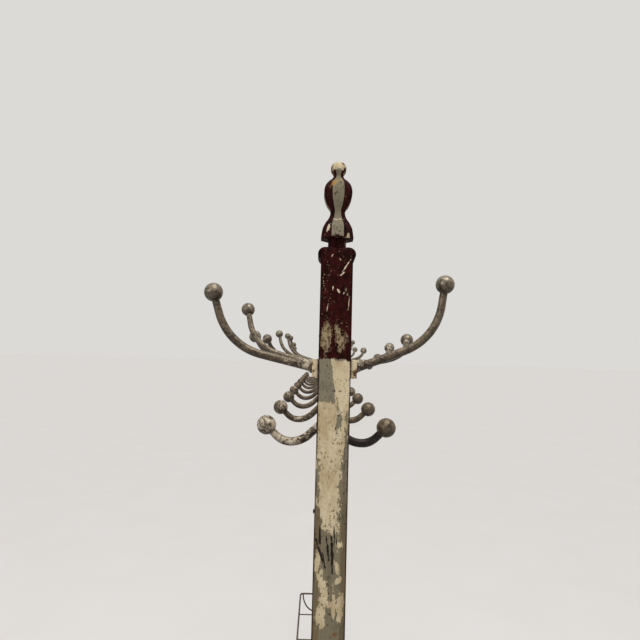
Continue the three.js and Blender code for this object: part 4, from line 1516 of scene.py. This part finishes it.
TRAY_SHEET = 1.2 * MM
TRAY_WIRE = 2.6 * MM


def tray_section(half, low, high):
    """A folded sheet's half-section: inside, over the wired rim and down the outside."""
    floor = low + TRAY_SHEET
    flare = 3 * MM
    rim = high - TRAY_WIRE
    section = [(0.0, floor), (half - 9 * MM, floor)]
    for i in range(1, 6):
        angle = math.radians(18 * i)
        section.append((half - 9 * MM + 4 * MM * math.sin(angle), floor + 4 * MM * (1 - math.cos(angle))))
    inner = half - 5 * MM
    section.append((inner + flare * 0.4, rim - TRAY_WIRE))
    for i in range(11):
        angle = math.radians(200 - 25 * i)
        section.append((half - TRAY_WIRE + TRAY_WIRE * math.cos(angle), rim + TRAY_WIRE * math.sin(angle)))
    section.append((inner + TRAY_SHEET + 1 * MM, low + 4 * MM))
    section.append((half - 9 * MM, low))
    section.append((0.0, low))
    return section


class RACK_OT_drip_tray(bpy.types.Operator):
    """The lift-out tray of galvanised sheet with a wired rim"""

    bl_idname = "rack.drip_tray"
    bl_label = "Drip tray"

    def execute(self, context):
        low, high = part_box("drip_tray")
        builder = bmesh.new()
        half_x, half_y = high.x, high.y
        section = tray_section(half_x, low.z, high.z)
        corner = 10 * MM
        rows = []
        for x, z in section:
            inset = half_x - x
            row = []
            for quarter, (sx, sy) in enumerate(((1, 1), (-1, 1), (-1, -1), (1, -1))):
                radius = max(corner - inset, 0.5 * MM) if x > 0 else 0.0
                cx, cy = max(x - radius, 0), half_y - inset - radius
                for i in range(7):
                    angle = (quarter + i / 6) * math.pi / 2
                    spot = (sx * cx + radius * math.cos(angle), sy * cy + radius * math.sin(angle), z)
                    row.append(builder.verts.new(spot))
            rows.append(row)
        for lower, upper in zip(rows, rows[1:]):
            count = len(lower)
            for k in range(count):
                builder.faces.new((lower[k], lower[(k + 1) % count], upper[(k + 1) % count], upper[k]))
        builder.faces.new(rows[0])
        builder.faces.new(list(reversed(rows[-1])))
        bmesh.ops.remove_doubles(builder, verts=builder.verts, dist=0.01 * MM)
        bmesh.ops.recalc_face_normals(builder, faces=builder.faces)
        mesh = mesh_from(builder, "tray", 35)
        place_piece("drip_tray_sheet", mesh, "zinc_sheet", "drip_tray", body="drip_tray")
        return {"FINISHED"}


# ---------- Fasteners ----------


def lathe(builder, profile, centre, axis, sides=28):
    """A closed turned solid: (distance along the axis, radius) points from pole to pole."""
    turn = Vector((0, 0, 1)).rotation_difference(Vector(axis)).to_matrix()
    rows = []
    for along, radius in profile:
        if radius < 1e-7:
            rows.append([builder.verts.new(centre + turn @ Vector((0, 0, along)))])
            continue
        ring = []
        for k in range(sides):
            angle = 2 * math.pi * k / sides
            spot = Vector((radius * math.cos(angle), radius * math.sin(angle), along))
            ring.append(builder.verts.new(centre + turn @ spot))
        rows.append(ring)
    for lower, upper in zip(rows, rows[1:]):
        for k in range(sides):
            corners = [lower[k % len(lower)], lower[(k + 1) % sides % len(lower)]]
            corners += [upper[(k + 1) % sides % len(upper)], upper[k % len(upper)]]
            unique = list(dict.fromkeys(corners))
            builder.faces.new(unique)


def domed(radius, height):
    """(along, radius) points of a domed head that sits on the plane at 0."""
    points = [(0.0, radius * 0.985), (0.35 * MM, radius)]
    for i in range(1, 10):
        angle = math.radians(10 * i)
        points.append((0.35 * MM + (height - 0.35 * MM) * math.sin(angle), radius * math.cos(angle)))
    return points[:-1] + [(height, 0.0)]


SCREW_HEAD_RISE = 0.56  # height of a screw's head as a share of its radius
BRACKET_SCREW = (2.2 * MM, 4.6 * MM)  # radius of the shank and of the head
SIDE_SCREW = (1.5 * MM, 2.8 * MM)


def screw_mesh(node, axis, shank, head_radius):
    """A slotted round-head screw where the CAD screw is, its head towards the axis."""
    head_height = SCREW_HEAD_RISE * head_radius
    low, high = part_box(node)
    centre = (low + high) / 2
    direction = Vector(axis)
    length = abs((high - low).dot(direction))
    face = centre + direction * (length / 2 - head_height)
    builder = bmesh.new()
    point = -(length - head_height)
    profile = [(point, 0.0), (point + 2 * MM, shank * 0.5), (-3 * MM, shank)]
    profile += [(-0.05 * MM, shank)] + domed(head_radius, head_height)
    lathe(builder, profile, face, axis)
    bmesh.ops.recalc_face_normals(builder, faces=builder.faces)
    solid = mesh_from(builder, node)
    groove = bmesh.new()
    top = face + direction * head_height
    size = Vector((3 * head_radius, 0.24 * head_radius, 0.9 * head_height))
    matrix = Matrix.Translation(top) @ Vector((0, 0, 1)).rotation_difference(direction).to_matrix().to_4x4()
    tilt = Matrix.Rotation(math.radians(35), 4, "Z")
    bmesh.ops.create_cube(groove, size=1, matrix=matrix @ tilt @ Matrix.Diagonal((*size, 1)))
    cutter = mesh_from(groove, "groove")
    made = evaluated(solid, ("BOOLEAN", {"operation": "DIFFERENCE", "solver": "EXACT"}), cutter=cutter)
    made.shade_smooth()
    made.set_sharp_from_angle(angle=math.radians(30))
    return made


class RACK_OT_fasteners(bpy.types.Operator):
    """The carriage bolts through the rails and the wood screws"""

    bl_idname = "rack.fasteners"
    bl_label = "Bolts and screws"

    def execute(self, context):
        for end in ENDS:
            node = f"{end}_rail_bolt"
            low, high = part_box(node)
            centre = (low + high) / 2
            head = (high.z - low.z) / 2
            face = RAIL_FACE + 0.3 * MM
            dome = domed(head, high.x - face)
            right = [(face + along, radius) for along, radius in dome]
            left = [(-along, radius) for along, radius in right]
            profile = list(reversed(left)) + [(-face - 0.01 * MM, 3 * MM), (face + 0.01 * MM, 3 * MM)] + right
            builder = bmesh.new()
            lathe(builder, profile, centre, (1, 0, 0))
            bmesh.ops.recalc_face_normals(builder, faces=builder.faces)
            place_piece(f"{node}_steel", mesh_from(builder, node), "bolt_steel", node)
        for end, sign in ENDS.items():
            node = f"{end}_bracket_screw"
            mesh = screw_mesh(node, (0, sign, 0), *BRACKET_SCREW)
            place_piece(f"{node}_steel", mesh, "bolt_steel", node)
        mesh = screw_mesh("side_screw", (-1, 0, 0), *SIDE_SCREW)
        place_piece("side_screw_steel", mesh, "bolt_steel", "side_screw")
        return {"FINISHED"}


# ---------- Stage ----------

EYE = Vector((-18.3, -571, 0)) * MM  # from the near post's front face, at the rails' top height
TILT_UP = 4.55
ROLL = 1.5
LENS = 27.56


def add_light(name, place, aim, size, watts, tint=(1, 1, 1)):
    """A soft square light at a place, pointed at a spot."""
    light = bpy.data.lights.new(name, "AREA")
    light.shape = "SQUARE"
    light.size, light.energy, light.color = size, watts, tint
    lamp = bpy.data.objects.new(name, light)
    lamp.location = place
    lamp.rotation_euler = (Vector(aim) - Vector(place)).to_track_quat("-Z", "Y").to_euler()
    bpy.context.collection.objects.link(lamp)


def add_sun(strength):
    """A broad, weak light from above that levels the floor with the surroundings."""
    sun = bpy.data.lights.new("ceiling", "SUN")
    sun.energy, sun.angle = strength, math.radians(60)
    bpy.context.collection.objects.link(bpy.data.objects.new("ceiling", sun))


class RACK_OT_stage(bpy.types.Operator):
    """A plain pale floor, soft light and the camera"""

    bl_idname = "rack.stage"
    bl_label = "Stage"

    def execute(self, context):
        bpy.ops.mesh.primitive_plane_add(size=600, location=(0, 0, 0))
        floor = context.active_object
        floor.name = "studio_floor"
        floor.data.materials.append(finish_named("floor"))
        world = bpy.data.worlds.new("studio")
        world.use_nodes = True
        background = world.node_tree.nodes["Background"]
        background.inputs["Color"].default_value = linear("DCDAD7")
        background.inputs["Strength"].default_value = 1.0
        context.scene.world = world
        add_sun(0.80)
        add_light("overhead", (0.3, -1.5, 3.2), (0, -0.8, 1.5), 1.0, 16, (1.0, 0.97, 0.93))
        add_light("window", (-1.8, -2.6, 2.3), (0, -0.8, 1.4), 1.2, 16)
        camera = bpy.data.objects.new("camera", bpy.data.cameras.new("camera"))
        camera.data.lens, camera.data.sensor_width = LENS, 36
        near_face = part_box("near_post")[0].y
        place = Vector((EYE.x, near_face + EYE.y, RAIL_TOP))
        tilted = Matrix.Rotation(math.radians(90 + TILT_UP), 4, "X")
        turn = tilted @ Matrix.Rotation(math.radians(ROLL), 4, "Z")
        camera.matrix_world = Matrix.Translation(place) @ turn
        context.collection.objects.link(camera)
        context.scene.camera = camera
        context.scene.view_settings.view_transform = "Standard"
        return {"FINISHED"}


# ---------- Add-on ----------

PIECES = (
    RACK_OT_posts,
    RACK_OT_feet,
    RACK_OT_rails,
    RACK_OT_upper_hooks,
    RACK_OT_lower_hooks,
    RACK_OT_umbrella_rail,
    RACK_OT_drip_tray,
    RACK_OT_fasteners,
    RACK_OT_stage,
)


class RACK_PT_rack(bpy.types.Panel):
    """Lists the rack's sizes, colours and pieces"""

    bl_idname = "RACK_PT_rack"
    bl_label = "Cloakroom rack"
    bl_space_type = "VIEW_3D"
    bl_region_type = "UI"
    bl_category = "Rack"

    def draw(self, context):
        for group in (context.scene.rack_sizes, context.scene.rack_colours):
            column = self.layout.column()
            for name in group.__annotations__:
                column.prop(group, name)
        for piece in PIECES:
            self.layout.operator(piece.bl_idname)


CLASSES = (RackSizes, RackColours, *PIECES, RACK_PT_rack)


def register():
    for cls in CLASSES:
        bpy.utils.register_class(cls)
    bpy.types.Scene.rack_sizes = bpy.props.PointerProperty(type=RackSizes)
    bpy.types.Scene.rack_colours = bpy.props.PointerProperty(type=RackColours)


def unregister():
    del bpy.types.Scene.rack_colours
    del bpy.types.Scene.rack_sizes
    for cls in reversed(CLASSES):
        bpy.utils.unregister_class(cls)


def main():
    """Builds every piece."""
    register()
    for piece in PIECES:
        group, name = piece.bl_idname.split(".")
        getattr(getattr(bpy.ops, group), name)()


if __name__ == "__main__":
    main()
